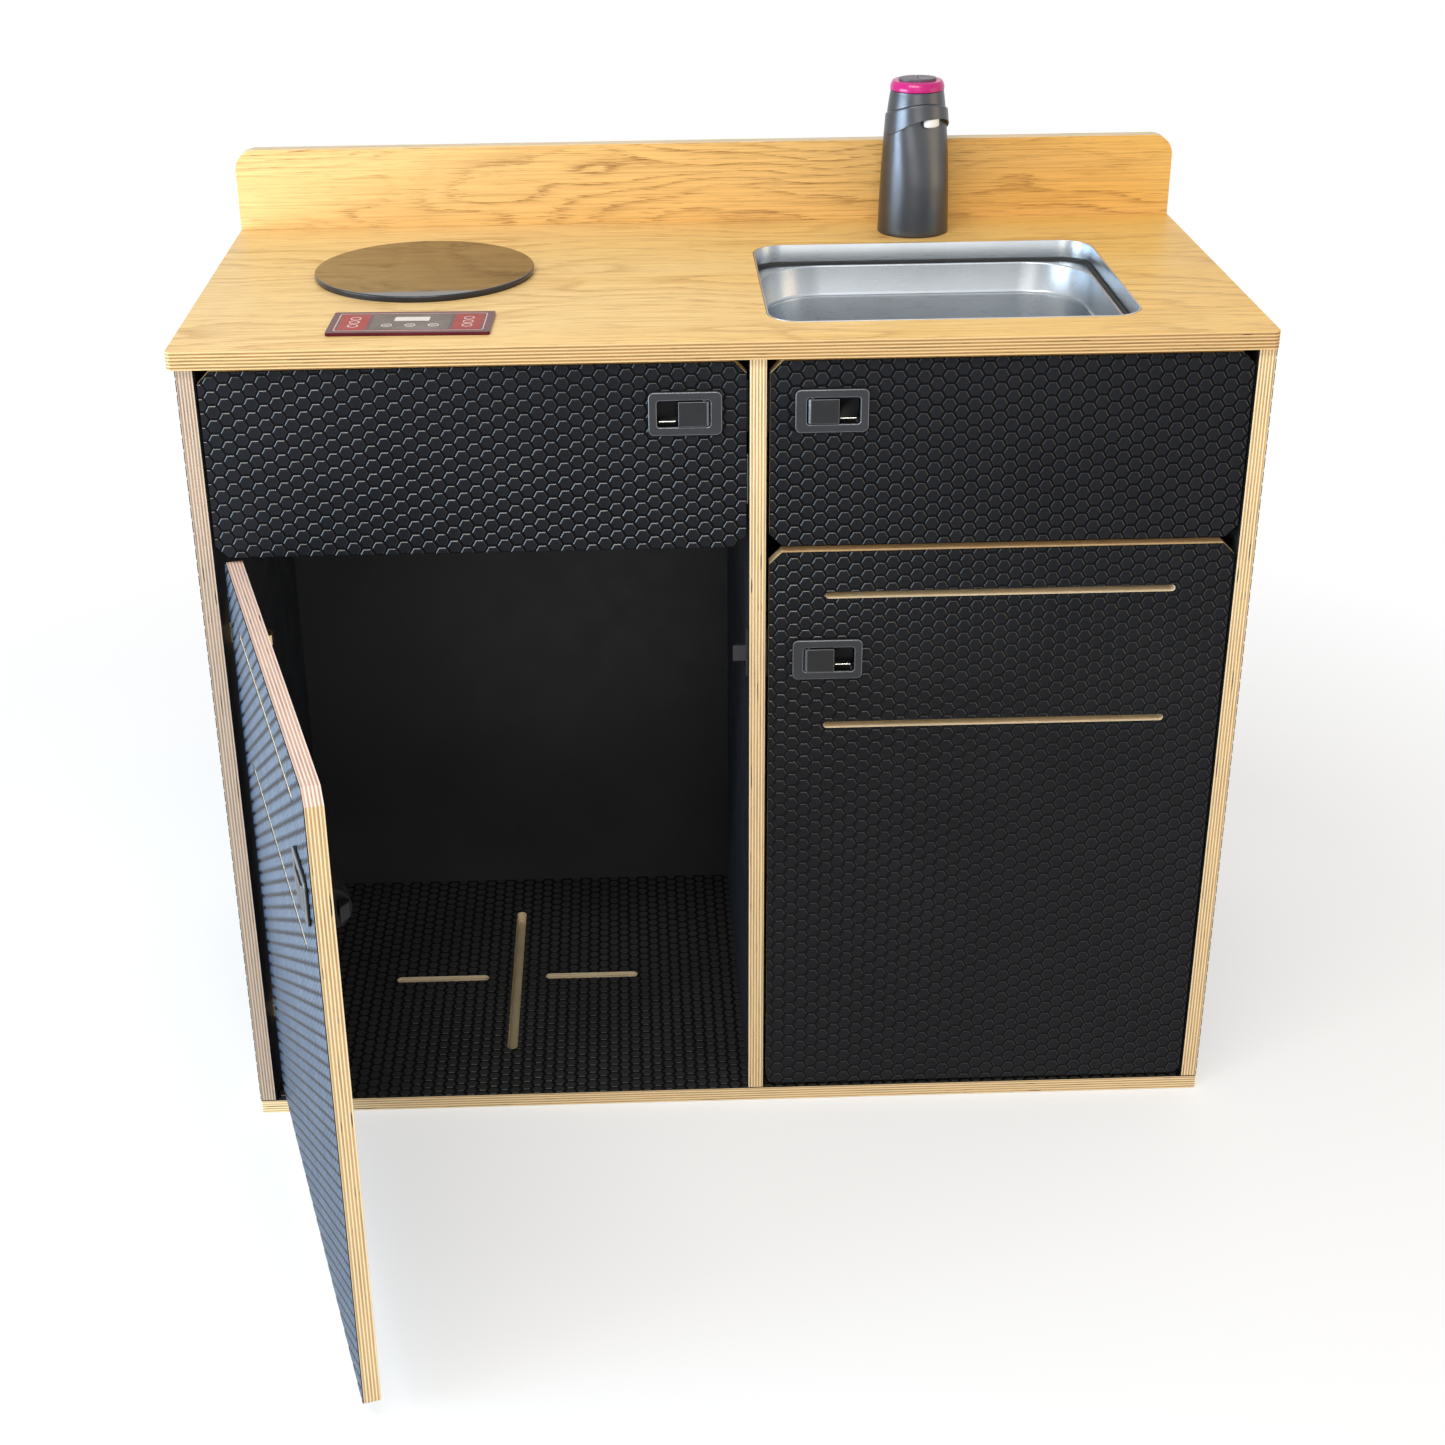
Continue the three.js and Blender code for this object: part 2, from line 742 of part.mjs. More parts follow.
function hingeCup() {
  const centreX = cupCentreInset - hingePivotInset;
  const mouth = board - hingePivotDepth;
  const top = mouth + seatGap + cupFlangeThickness;
  const disc = alongY(roundOutline(centreX, 0, cupFlangeRadius), mouth + seatGap, top, 2);
  const wings = alongY(
    roundedOutline(
      centreX - cupWingHalfWidth,
      centreX + cupWingHalfWidth,
      -cupWingLength,
      cupWingLength,
      cupWingHalfWidth / 2,
    ),
    mouth + seatGap,
    top,
  );
  const shell = rod('y', cupRadius, cupDepth + seatGap, 16);
  shell.translate(centreX, mouth - cupDepth / 2 + seatGap / 2, 0);
  const inside = rod('y', cupRadius - cupWall, cupDepth, 16);
  inside.translate(centreX, mouth - cupDepth / 2 + cupBottom, 0);
  const mouthCut = rod('y', cupRadius - cupWall, cupFlangeThickness + overrun * 2, 16);
  mouthCut.translate(centreX, mouth + seatGap, 0);
  const cup = cut(join(shell, disc, wings), inside, mouthCut);
  const bottom = mouth - cupDepth + cupBottom;
  const lugs = [-1, 1].map((sign) => block(
    -hingeLugHalfWidth,
    hingeLugHalfWidth,
    bottom - cupBottom / 2,
    hingeLugHalfWidth,
    Math.min(sign * hingeLugInner, sign * hingeLugOuter),
    Math.max(sign * hingeLugInner, sign * hingeLugOuter),
  ));
  const pin = rod('z', hingePinRadius, hingePinHalfLength * 2, 8);
  const screwReach = cupWingLength - cupWingHalfWidth / 2 - hingeScrewRadius / 2;
  const screws = [-1, 1].map((sign) => {
    const hole = rod('y', hingeScrewRadius, overrun * 4, 8);
    return hole.translate(centreX, mouth, sign * screwReach);
  });
  return cut(join(cup, ...lugs, pin), ...screws);
}

function hingeArm() {
  const wall = -hingePivotInset - sideReveal;
  const bodyEnd = hingeArmBodyStart + hingeArmBodyLength;
  const bodyTop = wall + hingePlateThickness + hingeArmBodyHeight;
  const line = [
    [0, 0],
    [hingeNeckStart, hingeNeckStartRise],
    [hingeNeckReach, hingeNeckRise],
    [hingeNeckReach, hingeNeckBack],
    [hingeNeckReach / 2, hingeArmBodyStart],
    [bodyTop - hingeNeckThickness, hingeArmBodyStart + hingeNeckThickness],
  ];
  const neck = alongZ(stripOutline(line, hingeNeckThickness), -hingeArmHalfHeight, hingeArmHalfHeight);
  const barrel = rod('z', hingeBarrelRadius, hingeArmHalfHeight * 2 + seatGap, 10);
  const body = alongZ(
    polygon([
      [wall + hingePlateThickness / 2, hingeArmBodyStart],
      [bodyTop, hingeArmBodyStart],
      [bodyTop, bodyEnd - hingeArmBodyHeight],
      [bodyTop - hingeArmBodyHeight / 2, bodyEnd],
      [wall + hingePlateThickness / 2, bodyEnd],
    ]),
    -hingeArmBodyHalfWidth,
    hingeArmBodyHalfWidth,
  );
  const plate = block(
    wall,
    wall + hingePlateThickness,
    hingeArmBodyStart,
    bodyEnd,
    -hingeArmHalfHeight * 2,
    hingeArmHalfHeight * 2,
  );
  const wingY = (hingeArmBodyStart + bodyEnd) / 2;
  const wings = block(
    wall,
    wall + hingePlateThickness,
    wingY - hingePlateWingWidth / 2,
    wingY + hingePlateWingWidth / 2,
    -hingePlateWing,
    hingePlateWing,
  );
  const pinHole = rod('z', hingePinRadius + seatGap, hingeArmHalfHeight * 4, 8);
  const screws = [-1, 1].map((sign) => {
    const hole = rod('x', hingeScrewRadius, 2 * (hingePlateThickness + overrun), 8);
    return hole.translate(wall, wingY, sign * (hingePlateWing - 2 * hingeScrewRadius));
  });
  return cut(join(neck, barrel, body, plate, wings), pinHole, ...screws);
}

// A hinged front in its own frame: the origin is on the hinge line, hung on its left

function doorSolid(makeOutline, width, z0, z1, hingeHeights, slotDrops, latchDrop) {
  const x0 = -hingePivotInset;
  const outline = makeOutline(x0, x0 + width, z0, z1);
  const slotLeft = x0 + (width - doorSlotLength) / 2;
  slotDrops.forEach((drop) => {
    const centre = z1 - drop;
    outline.holes.push(
      slotHole(slotLeft, slotLeft + doorSlotLength, centre - doorSlotHeight / 2, centre + doorSlotHeight / 2),
    );
  });
  outline.holes.push(throatHole(x0 + width - latchInset, z1 - latchDrop));
  const panel = alongY(outline, -hingePivotDepth, board - hingePivotDepth);
  const bores = hingeHeights.map((height) => {
    const bore = rod('y', cupRadius + seatGap, cupDepth + seatGap + overrun, 16);
    const mid = board - hingePivotDepth - (cupDepth + seatGap) / 2 + overrun / 2;
    return bore.translate(cupCentreInset - hingePivotInset, mid, height);
  });
  return cut(panel, ...bores);
}

function buildDoor(parent, name, spec) {
  const { hand, makeOutline, width, z0, z1, hingeMargin, slotDrops, latchDrop, openAngle } = spec;
  const wallX = hand > 0 ? leftInside : rightInside;
  const pivotX = wallX + hand * (sideReveal + hingePivotInset);
  const pivotY = front + hingePivotDepth;
  const heights = [z0 + hingeMargin, z1 - hingeMargin];
  const labels = ['lower', 'upper'];
  const door = new THREE.Group();
  door.position.set(pivotX, pivotY, 0);
  door.rotation.z = -hand * openAngle;
  const panel = doorSolid(makeOutline, width, z0, z1, heights, slotDrops, latchDrop);
  add(door, name, handed(panel, hand), hexBoard());
  heights.forEach((height, index) => {
    const cup = add(door, `${name}_${labels[index]}_hinge_cup`, handed(hingeCup(), hand), nickel());
    cup.position.z = height;
    const arm = add(parent, `${name}_${labels[index]}_hinge_arm`, handed(hingeArm(), hand), nickel());
    arm.position.set(pivotX, pivotY, height);
  });
  const latchFrame = new THREE.Group();
  latchFrame.position.y = -hingePivotDepth;
  buildLatch(latchFrame, name, hand * (width - hingePivotInset - latchInset), z1 - latchDrop, hand);
  door.add(latchFrame);
  parent.add(door);
  buildStriker(parent, name, z1 - latchDrop, hand);
}

function buildDoors(parent) {
  buildDoor(parent, 'left_door', {
    hand: 1,
    makeOutline: doorOutline,
    width: leftFrontWidth,
    z0: doorBottom,
    z1: doorTop,
    hingeMargin: hingeEndMargin,
    slotDrops: [upperSlotDrop, lowerSlotDrop],
    latchDrop: doorLatchDrop,
    openAngle: leftDoorOpenAngle,
  });
  buildDoor(parent, 'right_door', {
    hand: -1,
    makeOutline: doorOutline,
    width: rightFrontWidth,
    z0: doorBottom,
    z1: doorTop,
    hingeMargin: hingeEndMargin,
    slotDrops: [upperSlotDrop, lowerSlotDrop],
    latchDrop: doorLatchDrop,
    openAngle: 0,
  });
  buildDoor(parent, 'sink_door', {
    hand: -1,
    makeOutline: upperOutline,
    width: rightFrontWidth,
    z0: upperBottom,
    z1: upperTop,
    hingeMargin: smallDoorHingeMargin,
    slotDrops: [],
    latchDrop: upperLatchDrop,
    openAngle: 0,
  });
}

// Drawer under the hob, on two telescopic runners

const boxBottom = upperBottom + drawerBoxRise;
const boxTop = boxBottom + drawerBoxHeight;
const boxLeft = leftInside + runnerSpace;
const boxRight = dividerLeft - runnerSpace;
const boxBack = insideBack - drawerBackSpace;
const runnerZ = boxBottom + runnerCentreRise;

function drawerFront() {
  const x0 = leftInside + sideReveal;
  const x1 = dividerLeft - sideReveal;
  const outline = upperOutline(x0, x1, upperBottom, upperTop);
  outline.holes.push(throatHole(x1 - latchInset, upperTop - upperLatchDrop));
  return alongY(outline, front, frontInner);
}

function drawerSide(x0, x1, inward) {
  const side = block(x0, x1, frontInner, boxBack, boxBottom, boxTop);
  const face = inward > 0 ? x1 : x0;
  const groove = block(
    Math.min(face - inward * drawerGrooveDepth, face + inward * overrun),
    Math.max(face - inward * drawerGrooveDepth, face + inward * overrun),
    frontInner - overrun,
    boxBack + overrun,
    boxBottom + drawerBottomRise,
    boxBottom + drawerBottomRise + drawerBottomBoard + 2 * seatGap,
  );
  return cut(side, groove);
}

function runnerProfile(lipX, half) {
  return polygon([
    [0, -half],
    [lipX, -half],
    [lipX, -half + runnerLip],
    [lipX - runnerMetal, -half + runnerLip],
    [lipX - runnerMetal, -half + runnerMetal],
    [runnerMetal, -half + runnerMetal],
    [runnerMetal, half - runnerMetal],
    [lipX - runnerMetal, half - runnerMetal],
    [lipX - runnerMetal, half - runnerLip],
    [lipX, half - runnerLip],
    [lipX, half],
    [0, half],
  ]);
}

function slideProfile() {
  const half = runnerHeight / 2 - runnerMetal - seatGap;
  const hat = slideHatHalfHeight;
  return polygon([
    [slideFlangeStart, -half],
    [slideFlangeEnd, -half],
    [slideFlangeEnd, -half + runnerMetal],
    [slideFlangeStart + runnerMetal, -half + runnerMetal],
    [slideFlangeStart + runnerMetal, -hat],
    [runnerSpace - runnerMetal, -hat],
    [runnerSpace - runnerMetal, -hat + runnerMetal],
    [runnerSpace, -hat + runnerMetal],
    [runnerSpace, hat - runnerMetal],
    [runnerSpace - runnerMetal, hat - runnerMetal],
    [runnerSpace - runnerMetal, hat],
    [slideFlangeStart + runnerMetal, hat],
    [slideFlangeStart + runnerMetal, half - runnerMetal],
    [slideFlangeEnd, half - runnerMetal],
    [slideFlangeEnd, half],
    [slideFlangeStart, half],
  ]);
}

// An outline in X and Z as a bar from the drawer front to the back of the drawer box
function runnerBar(shape, y0) {
  return alongY(shape, y0, boxBack);
}

function buildDrawer(parent) {
  const drawer = new THREE.Group();
  add(drawer, 'drawer_front', drawerFront(), hexBoard());
  add(drawer, 'drawer_side_left', drawerSide(boxLeft, boxLeft + drawerBoard, 1), plywood());
  add(drawer, 'drawer_side_right', drawerSide(boxRight - drawerBoard, boxRight, -1), plywood());
  const bottomZ = boxBottom + drawerBottomRise + seatGap;
  const tuck = drawerGrooveDepth - seatGap;
  const bottom = block(
    boxLeft + drawerBoard - tuck,
    boxRight - drawerBoard + tuck,
    frontInner,
    boxBack,
    bottomZ,
    bottomZ + drawerBottomBoard,
  );
  add(drawer, 'drawer_bottom', bottom, plywood());
  const rear = block(
    boxLeft + drawerBoard,
    boxRight - drawerBoard,
    boxBack - drawerBoard,
    boxBack,
    bottomZ + drawerBottomBoard,
    boxTop,
  );
  add(drawer, 'drawer_back', rear, plywood());
  const runnerFront = frontInner + runnerSetback;
  const slide = runnerBar(slideProfile(), frontInner);
  const runner = runnerBar(runnerProfile(runnerChannelDepth, runnerHeight / 2), runnerFront);
  add(drawer, 'drawer_slide_left', slide, zincSteel()).position.set(leftInside, 0, runnerZ);
  add(drawer, 'drawer_slide_right', mirrored(slide), zincSteel()).position.set(dividerLeft, 0, runnerZ);
  add(parent, 'drawer_runner_left', runner, zincSteel()).position.set(leftInside, 0, runnerZ);
  add(parent, 'drawer_runner_right', mirrored(runner), zincSteel()).position.set(dividerLeft, 0, runnerZ);
  const latchFrame = new THREE.Group();
  latchFrame.position.y = front;
  buildLatch(latchFrame, 'drawer', dividerLeft - sideReveal - latchInset, upperTop - upperLatchDrop, 1);
  drawer.add(latchFrame);
  parent.add(drawer);
  buildStriker(parent, 'drawer', upperTop - upperLatchDrop, 1);
}

// Round hob: a glass plate on a trim ring with a round body that drops through the worktop

function buildHob(parent) {
  const trimTop = hobTrimThickness;
  const glassTop = trimTop + hobGlassThickness;
  const glass = lathe([
    [0, trimTop],
    [hobRadius - hobGlassBevel, trimTop],
    [hobRadius, trimTop + hobGlassBevel],
    [hobRadius, glassTop - hobGlassBevel],
    [hobRadius - hobGlassBevel, glassTop],
    [0, glassTop],
  ], 48);
  const body = lathe([
    [0, -hobBodyDepth],
    [hobBodyRadius - hobBodyRound, -hobBodyDepth],
    [hobBodyRadius, -hobBodyDepth + hobBodyRound],
    [hobBodyRadius, 0],
    [hobRadius - hobTrimInset, 0],
    [hobRadius - hobTrimInset, trimTop],
    [0, trimTop],
  ], 40);
  add(parent, 'hob_glass', glass, blackGlass()).position.set(hobX, hobY, worktopHeight);
  add(parent, 'hob_body', body, blackPlastic()).position.set(hobX, hobY, worktopHeight);
}

function buildControlPanel(parent) {
  const panel = new THREE.Group();
  panel.position.set(controlX, controlY, worktopHeight);
  panel.rotation.z = controlSkew;
  const plate = roundedOutline(
    -controlWidth / 2,
    controlWidth / 2,
    -controlDepth / 2,
    controlDepth / 2,
    controlCorner,
  );
  const box = roundedOutline(
    -controlBoxWidth / 2,
    controlBoxWidth / 2,
    -controlBoxDepth / 2,
    controlBoxDepth / 2,
    controlBoxCorner,
  );
  add(panel, 'control_panel_glass', alongZ(plate, 0, controlThickness), redGlass());
  add(panel, 'control_panel_box', alongZ(box, -controlBoxHeight, -seatGap), blackPlastic());
  parent.add(panel);
}

// Sink: a steel collar in the worktop, a pressed bowl on its ledge and a black seal between

const cornerSteps = 4;

function ring(width, depth, radius, z) {
  const corner = Math.min(radius, width / 2, depth / 2);
  const centres = [[1, -1], [1, 1], [-1, 1], [-1, -1]];
  return centres.flatMap(([sx, sy], quarter) => {
    const points = [];
    for (let step = 0; step <= cornerSteps; step += 1) {
      const angle = (quarter - 1 + step / cornerSteps) * (Math.PI / 2);
      const x = sx * (width / 2 - corner) + corner * Math.cos(angle);
      const y = sy * (depth / 2 - corner) + corner * Math.sin(angle);
      points.push([x, y, z]);
    }
    return points;
  });
}

const circle = (radius, z) => ring(2 * radius, 2 * radius, radius, z);

// A closed skin through rings that lead back to the first one
function ringLoft(rings) {
  const count = rings[0].length;
  const positions = rings.flat(2);
  const index = [];
  rings.forEach((_, row) => {
    const next = (row + 1) % rings.length;
    for (let side = 0; side < count; side += 1) {
      const a = row * count + side;
      const b = row * count + ((side + 1) % count);
      const c = next * count + ((side + 1) % count);
      const d = next * count + side;
      index.push(a, b, c, a, c, d);
    }
  });
  const geometry = new THREE.BufferGeometry();
  geometry.setAttribute('position', new THREE.Float32BufferAttribute(positions, 3));
  geometry.setIndex(index);
  return geometry;
}

const ledgeTop = worktopHeight - collarDrop + collarWall;
const bowlRimZ = ledgeTop + bowlSteel;
const collarInnerWidth = sinkWidth - 2 * collarWall;
const collarInnerDepth = sinkDepth - 2 * collarWall;
const bowlWidth = collarInnerWidth - 2 * bowlRimWidth;
const bowlLength = collarInnerDepth - 2 * bowlRimWidth;

function sinkCollar() {
  const inner = (inset) => sinkCorner - collarWall - inset;
  const bottom = worktopHeight - collarDrop;
  const top = worktopHeight + collarProud;
  const ledge = 2 * collarLedge;
  return ringLoft([
    ring(sinkWidth, sinkDepth, sinkCorner, bottom),
    ring(sinkWidth, sinkDepth, sinkCorner, top),
    ring(collarInnerWidth, collarInnerDepth, inner(0), top),
    ring(collarInnerWidth, collarInnerDepth, inner(0), ledgeTop),
    ring(collarInnerWidth - ledge, collarInnerDepth - ledge, inner(collarLedge), ledgeTop),
    ring(collarInnerWidth - ledge, collarInnerDepth - ledge, inner(collarLedge), bottom),
  ]);
}

// The bowl's inner face as rings from the rim down to the drain
function bowlFace(offset, lift) {
  const grow = 2 * offset;
  const z = (drop) => bowlRimZ - drop + lift;
  const wide = (inset, drop, corner) => ring(
    bowlWidth - 2 * inset + grow,
    bowlLength - 2 * inset + grow,
    corner + offset,
    z(drop),
  );
  const shoulderInset = bowlTaper / 4;
  const stepInset = shoulderInset + bowlShoulderStep;
  const wallInset = stepInset + bowlTaper;
  const stepDrop = bowlShoulderDrop + bowlShoulderStep;
  const half = bowlFillet * (1 - Math.SQRT1_2);
  return [
    wide(0, bowlSteel, bowlRimCorner),
    wide(shoulderInset, bowlShoulderDrop, bowlRimCorner),
    wide(stepInset, stepDrop, bowlRimCorner - bowlShoulderStep),
    wide(wallInset, bowlDepth - bowlFillet, bowlRimCorner - bowlTaper),
    wide(wallInset + half, bowlDepth - half, bowlRimCorner - bowlTaper - half),
    wide(wallInset + bowlFillet, bowlDepth, bowlRimCorner - bowlTaper - bowlFillet),
    circle(strainerRadius + strainerSeatMargin, z(bowlDepth + bowlFloorFall)),
    circle(drainRadius, z(bowlDepth + bowlFloorFall)),
  ];
}

function sinkBowl() {
  const rimWidth = collarInnerWidth - 2 * seatGap;
  const rimDepth = collarInnerDepth - 2 * seatGap;
  const rimCorner = sinkCorner - collarWall - seatGap;
  const inside = bowlFace(0, 0);
  const outside = bowlFace(bowlSteel, 0).slice(0, -2);
  const floor = bowlRimZ - bowlDepth - bowlFloorFall - bowlSteel;
  const under = [
    circle(drainRadius, floor),
    circle(strainerRadius + strainerSeatMargin, floor),
  ];
  return ringLoft([
    ring(rimWidth, rimDepth, rimCorner, ledgeTop),
    ring(rimWidth, rimDepth, rimCorner, bowlRimZ),
    ring(bowlWidth + 2 * bowlSteel, bowlLength + 2 * bowlSteel, bowlRimCorner + bowlSteel, bowlRimZ),
    ...inside,
    ...under,
    ...outside.reverse(),
  ]);
}

function sinkSeal() {
  const width = collarInnerWidth - 2 * seatGap;
  const depth = collarInnerDepth - 2 * seatGap;
  const corner = sinkCorner - collarWall - seatGap;
  const top = bowlRimZ + sealHeight;
  const inner = 2 * sealWidth;
  return ringLoft([
    ring(width, depth, corner, bowlRimZ),
    ring(width, depth, corner, top),
    ring(width - inner, depth - inner, corner - sealWidth, top),
    ring(width - inner, depth - inner, corner - sealWidth, bowlRimZ),
  ]);
}

function wasteStrainer() {
  const body = lathe([
    [0, -strainerDish],
    [strainerTailRadius - strainerWall, -strainerDish],
    [strainerTailRadius - strainerWall, -strainerTailLength],
    [strainerTailRadius, -strainerTailLength],
    [strainerTailRadius, -bowlSteel],
    [drainRadius - strainerNeckGap, -bowlSteel],
    [drainRadius - strainerNeckGap, seatGap],
    [strainerRadius, seatGap],
    [strainerRadius, seatGap + strainerWall / 2],
    [drainRadius - strainerWall, seatGap + strainerWall],
    [strainerTailRadius - strainerWall, -strainerDish + strainerWall],
    [0, -strainerDish + strainerWall],
  ], 24);
  const holes = Array.from({ length: strainerHoles }, (_, index) => {
    const angle = (index / strainerHoles) * Math.PI * 2;
    const x = strainerHoleCircle * Math.cos(angle);
    const y = strainerHoleCircle * Math.sin(angle);
    return rod('z', strainerHoleRadius, strainerDish, 8).translate(x, y, -strainerDish);
  });
  const centre = rod('z', strainerHoleRadius, strainerDish, 8).translate(0, 0, -strainerDish);
  return cut(body, ...holes, centre);
}

function wasteNut() {
  const top = -bowlSteel;
  const outer = rod('z', wasteNutRadius, wasteNutHeight, wasteNutSides);
  const bore = rod('z', strainerTailRadius + 2 * seatGap, wasteNutHeight * 2, 24);
  return cut(outer, bore).translate(0, 0, top - wasteNutHeight / 2);
}

function buildSink(parent) {
  const sink = new THREE.Group();
  sink.position.set(sinkX, sinkY, 0);
  add(sink, 'sink_collar', sinkCollar(), stainless());
  add(sink, 'sink_bowl', sinkBowl(), stainless());
  add(sink, 'sink_seal', sinkSeal(), rubber());
  const floorZ = bowlRimZ - bowlDepth - bowlFloorFall;
  add(sink, 'waste_strainer', wasteStrainer(), stainless()).position.z = floorZ;
  add(sink, 'waste_nut', wasteNut(), blackPlastic()).position.z = floorZ;
  parent.add(sink);
}

// Rechargeable tap: a tapered body with a scooped recess under the visor of its spout, a cap that
// meets the body on an arched line, a ring and a button. The spout's own direction is +X here.

const tapCapTop = tapBodyHeight + tapCapHeight;
const tapRingTop = tapCapTop + tapRingHeight;

function tapRadius(height) {
  const heights = [0, tapWaistHeight, tapBodyHeight, tapCapTop];
  const radii = [tapBaseRadius, tapWaistRadius, tapBodyTopRadius, tapCapTopRadius];
  const upper = Math.max(1, heights.findIndex((value) => value >= height));
  const share = (height - heights[upper - 1]) / (heights[upper] - heights[upper - 1]);
  return radii[upper - 1] + share * (radii[upper] - radii[upper - 1]);
}

// Everything above, or below, an arch that crosses the tap at the given height
function archBlock(height, above) {
  const half = tapBaseRadius + overrun;
  const radius = (half ** 2 + tapArchDrop ** 2) / (2 * tapArchDrop);
  const reach = Math.asin(half / radius);
  const far = above ? height + tapCapHeight + tapRingHeight : height - tapBodyHeight;
  const shape = new THREE.Shape();
  shape.absarc(0, height - radius, radius, Math.PI / 2 + reach, Math.PI / 2 - reach, true);
  shape.lineTo(half, far);
  shape.lineTo(-half, far);
  return alongX(shape, -half, half);
}

function tapBody() {
  const shell = lathe([
    [0, -tapSpigotLength],
    [tapSpigotRadius, -tapSpigotLength],
    [tapSpigotRadius, 0],
    [tapBaseRadius - tapBaseRound, 0],
    [tapBaseRadius, tapBaseRound],
    [tapWaistRadius, tapWaistHeight],
    [tapBodyTopRadius, tapBodyHeight],
    [0, tapBodyHeight],
  ], 36);
  const visorEdge = tapBodyHeight - tapVisorHeight;
  const scoop = new THREE.SphereGeometry(1, 20, 14);
  scoop.scale(tapScoopDepth, tapScoopHalfWidth, tapScoopReach);
  scoop.translate(tapRadius(visorEdge), 0, visorEdge);
  const recess = cut(scoop, archBlock(visorEdge, true));
  const nozzle = rod('z', tapNozzleRadius, tapNozzleLength + tapVisorHeight / 2, 16);
  nozzle.translate(
    tapRadius(visorEdge) - tapNozzleInset,
    0,
    visorEdge + tapVisorHeight / 4 - tapNozzleLength / 2,
  );
  return join(cut(shell, archBlock(tapBodyHeight - seatGap, true), recess), nozzle);
}

function tapCap() {
  const skirt = tapBodyHeight - tapArchDrop;
  const shell = lathe([
    [0, skirt],
    [tapRadius(skirt) - seatGap, skirt],
    [tapBodyTopRadius - seatGap, tapBodyHeight],
    [tapCapTopRadius, tapCapTop],
    [0, tapCapTop],
  ], 36);
  return cut(shell, archBlock(tapBodyHeight, false));
}

function tapButtonOutline(gap) {
  const shape = new THREE.Shape();
  shape.absellipse(0, 0, tapButtonHalfWidth + gap, tapButtonHalfDepth + gap, 0, Math.PI * 2, false, 0);
  return shape;
}

function tapRing() {
  const shell = lathe([
    [0, tapCapTop],
    [tapCapTopRadius - seatGap, tapCapTop],
    [tapCapTopRadius - seatGap, tapCapTop + tapRingHeight / 2],
    [tapRingTopRadius, tapRingTop],
    [0, tapRingTop],
  ], 36);
  const wellFloor = tapRingTop + tapButtonProud - tapButtonHeight - tapButtonTravel - seatGap;
  return cut(shell, alongZ(tapButtonOutline(seatGap), wellFloor, tapRingTop + overrun, 12));
}

function tapButton() {
  const top = tapRingTop + tapButtonProud;
  const plate = alongZ(tapButtonOutline(0), top - tapButtonHeight, top, 12);
  const groove = block(
    -tapButtonGroove / 2,
    tapButtonGroove / 2,
    -tapButtonHalfDepth - overrun,
    tapButtonHalfDepth + overrun,
    top - tapButtonGroove,
    top + overrun,
  );
  return cut(plate, groove);
}

function buildTap(parent) {
  const tap = new THREE.Group();
  tap.position.set(tapX, tapY, worktopHeight);
  add(tap, 'tap_body', tapBody(), gunmetal()).rotation.z = tapSpoutAzimuth;
  add(tap, 'tap_cap', tapCap(), gunmetal()).rotation.z = tapSpoutAzimuth;
  add(tap, 'tap_ring', tapRing(), magenta());
  add(tap, 'tap_button', tapButton(), gunmetal());
  parent.add(tap);
}

buildCarcass(unit);
buildWorktop(unit);
buildDoors(unit);
buildDrawer(unit);
buildHob(unit);
buildControlPanel(unit);
buildSink(unit);
buildTap(unit);

export default unit;
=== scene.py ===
# Looks of the van side furniture unit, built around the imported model
import itertools
import json
import math

import bmesh
import bpy
import numpy as np
from mathutils import Matrix, Vector
from mathutils.geometry import convex_hull_2d, tessellate_polygon


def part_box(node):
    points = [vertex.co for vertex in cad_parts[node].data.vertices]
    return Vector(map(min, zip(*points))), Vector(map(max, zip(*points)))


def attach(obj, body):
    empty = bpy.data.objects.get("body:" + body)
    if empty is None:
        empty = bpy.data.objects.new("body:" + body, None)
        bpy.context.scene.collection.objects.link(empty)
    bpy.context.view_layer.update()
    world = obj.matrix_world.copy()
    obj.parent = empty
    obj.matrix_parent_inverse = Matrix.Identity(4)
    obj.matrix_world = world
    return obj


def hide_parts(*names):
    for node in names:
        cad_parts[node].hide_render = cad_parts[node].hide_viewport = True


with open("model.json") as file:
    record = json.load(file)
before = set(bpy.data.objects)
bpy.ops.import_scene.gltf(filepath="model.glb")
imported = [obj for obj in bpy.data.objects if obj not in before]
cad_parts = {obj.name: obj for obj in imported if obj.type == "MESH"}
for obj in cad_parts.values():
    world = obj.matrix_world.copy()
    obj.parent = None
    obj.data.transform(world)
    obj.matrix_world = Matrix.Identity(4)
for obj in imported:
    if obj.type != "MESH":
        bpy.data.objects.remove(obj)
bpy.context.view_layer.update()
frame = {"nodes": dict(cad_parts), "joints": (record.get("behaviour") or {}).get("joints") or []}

MM = 0.001
# Above this share of its normal along the thickness a face is flat
FLAT = 0.8
# Angles in degrees above which an edge is shaded sharp
BOARD_SHARP, PIECE_SHARP = 50, 35
# Sides of small turned pieces
FINE_SIDES = 20

# Sizes of the construction, in metres
BOARD = 15 * MM
PLIES = 11
SEAT_GAP = 0.3 * MM
CHAMFER = 11 * MM
LOWER_CORNER = 9 * MM
UPSTAND_CORNER = 20 * MM
ARRIS = 0.35 * MM
LATCH_INSET = 52.25 * MM
LATCH_DROP = {"drawer": 44 * MM, "sink_door": 44 * MM, "left_door": 102.5 * MM, "right_door": 102.5 * MM}
HINGE_INSET = 22 * MM
CUP_BORE_RADIUS = 17.8 * MM
CUP_BORE_DEPTH = 12.6 * MM
THROAT_CORNER = 4.3 * MM
BASE_CORNER = 2 * MM
WORKTOP_CORNER = 5 * MM
HOB_HOLE_RADIUS = 88.3 * MM
TAP_HOLE_RADIUS = 15 * MM
SINK_HOLE_CORNER = 29.3 * MM

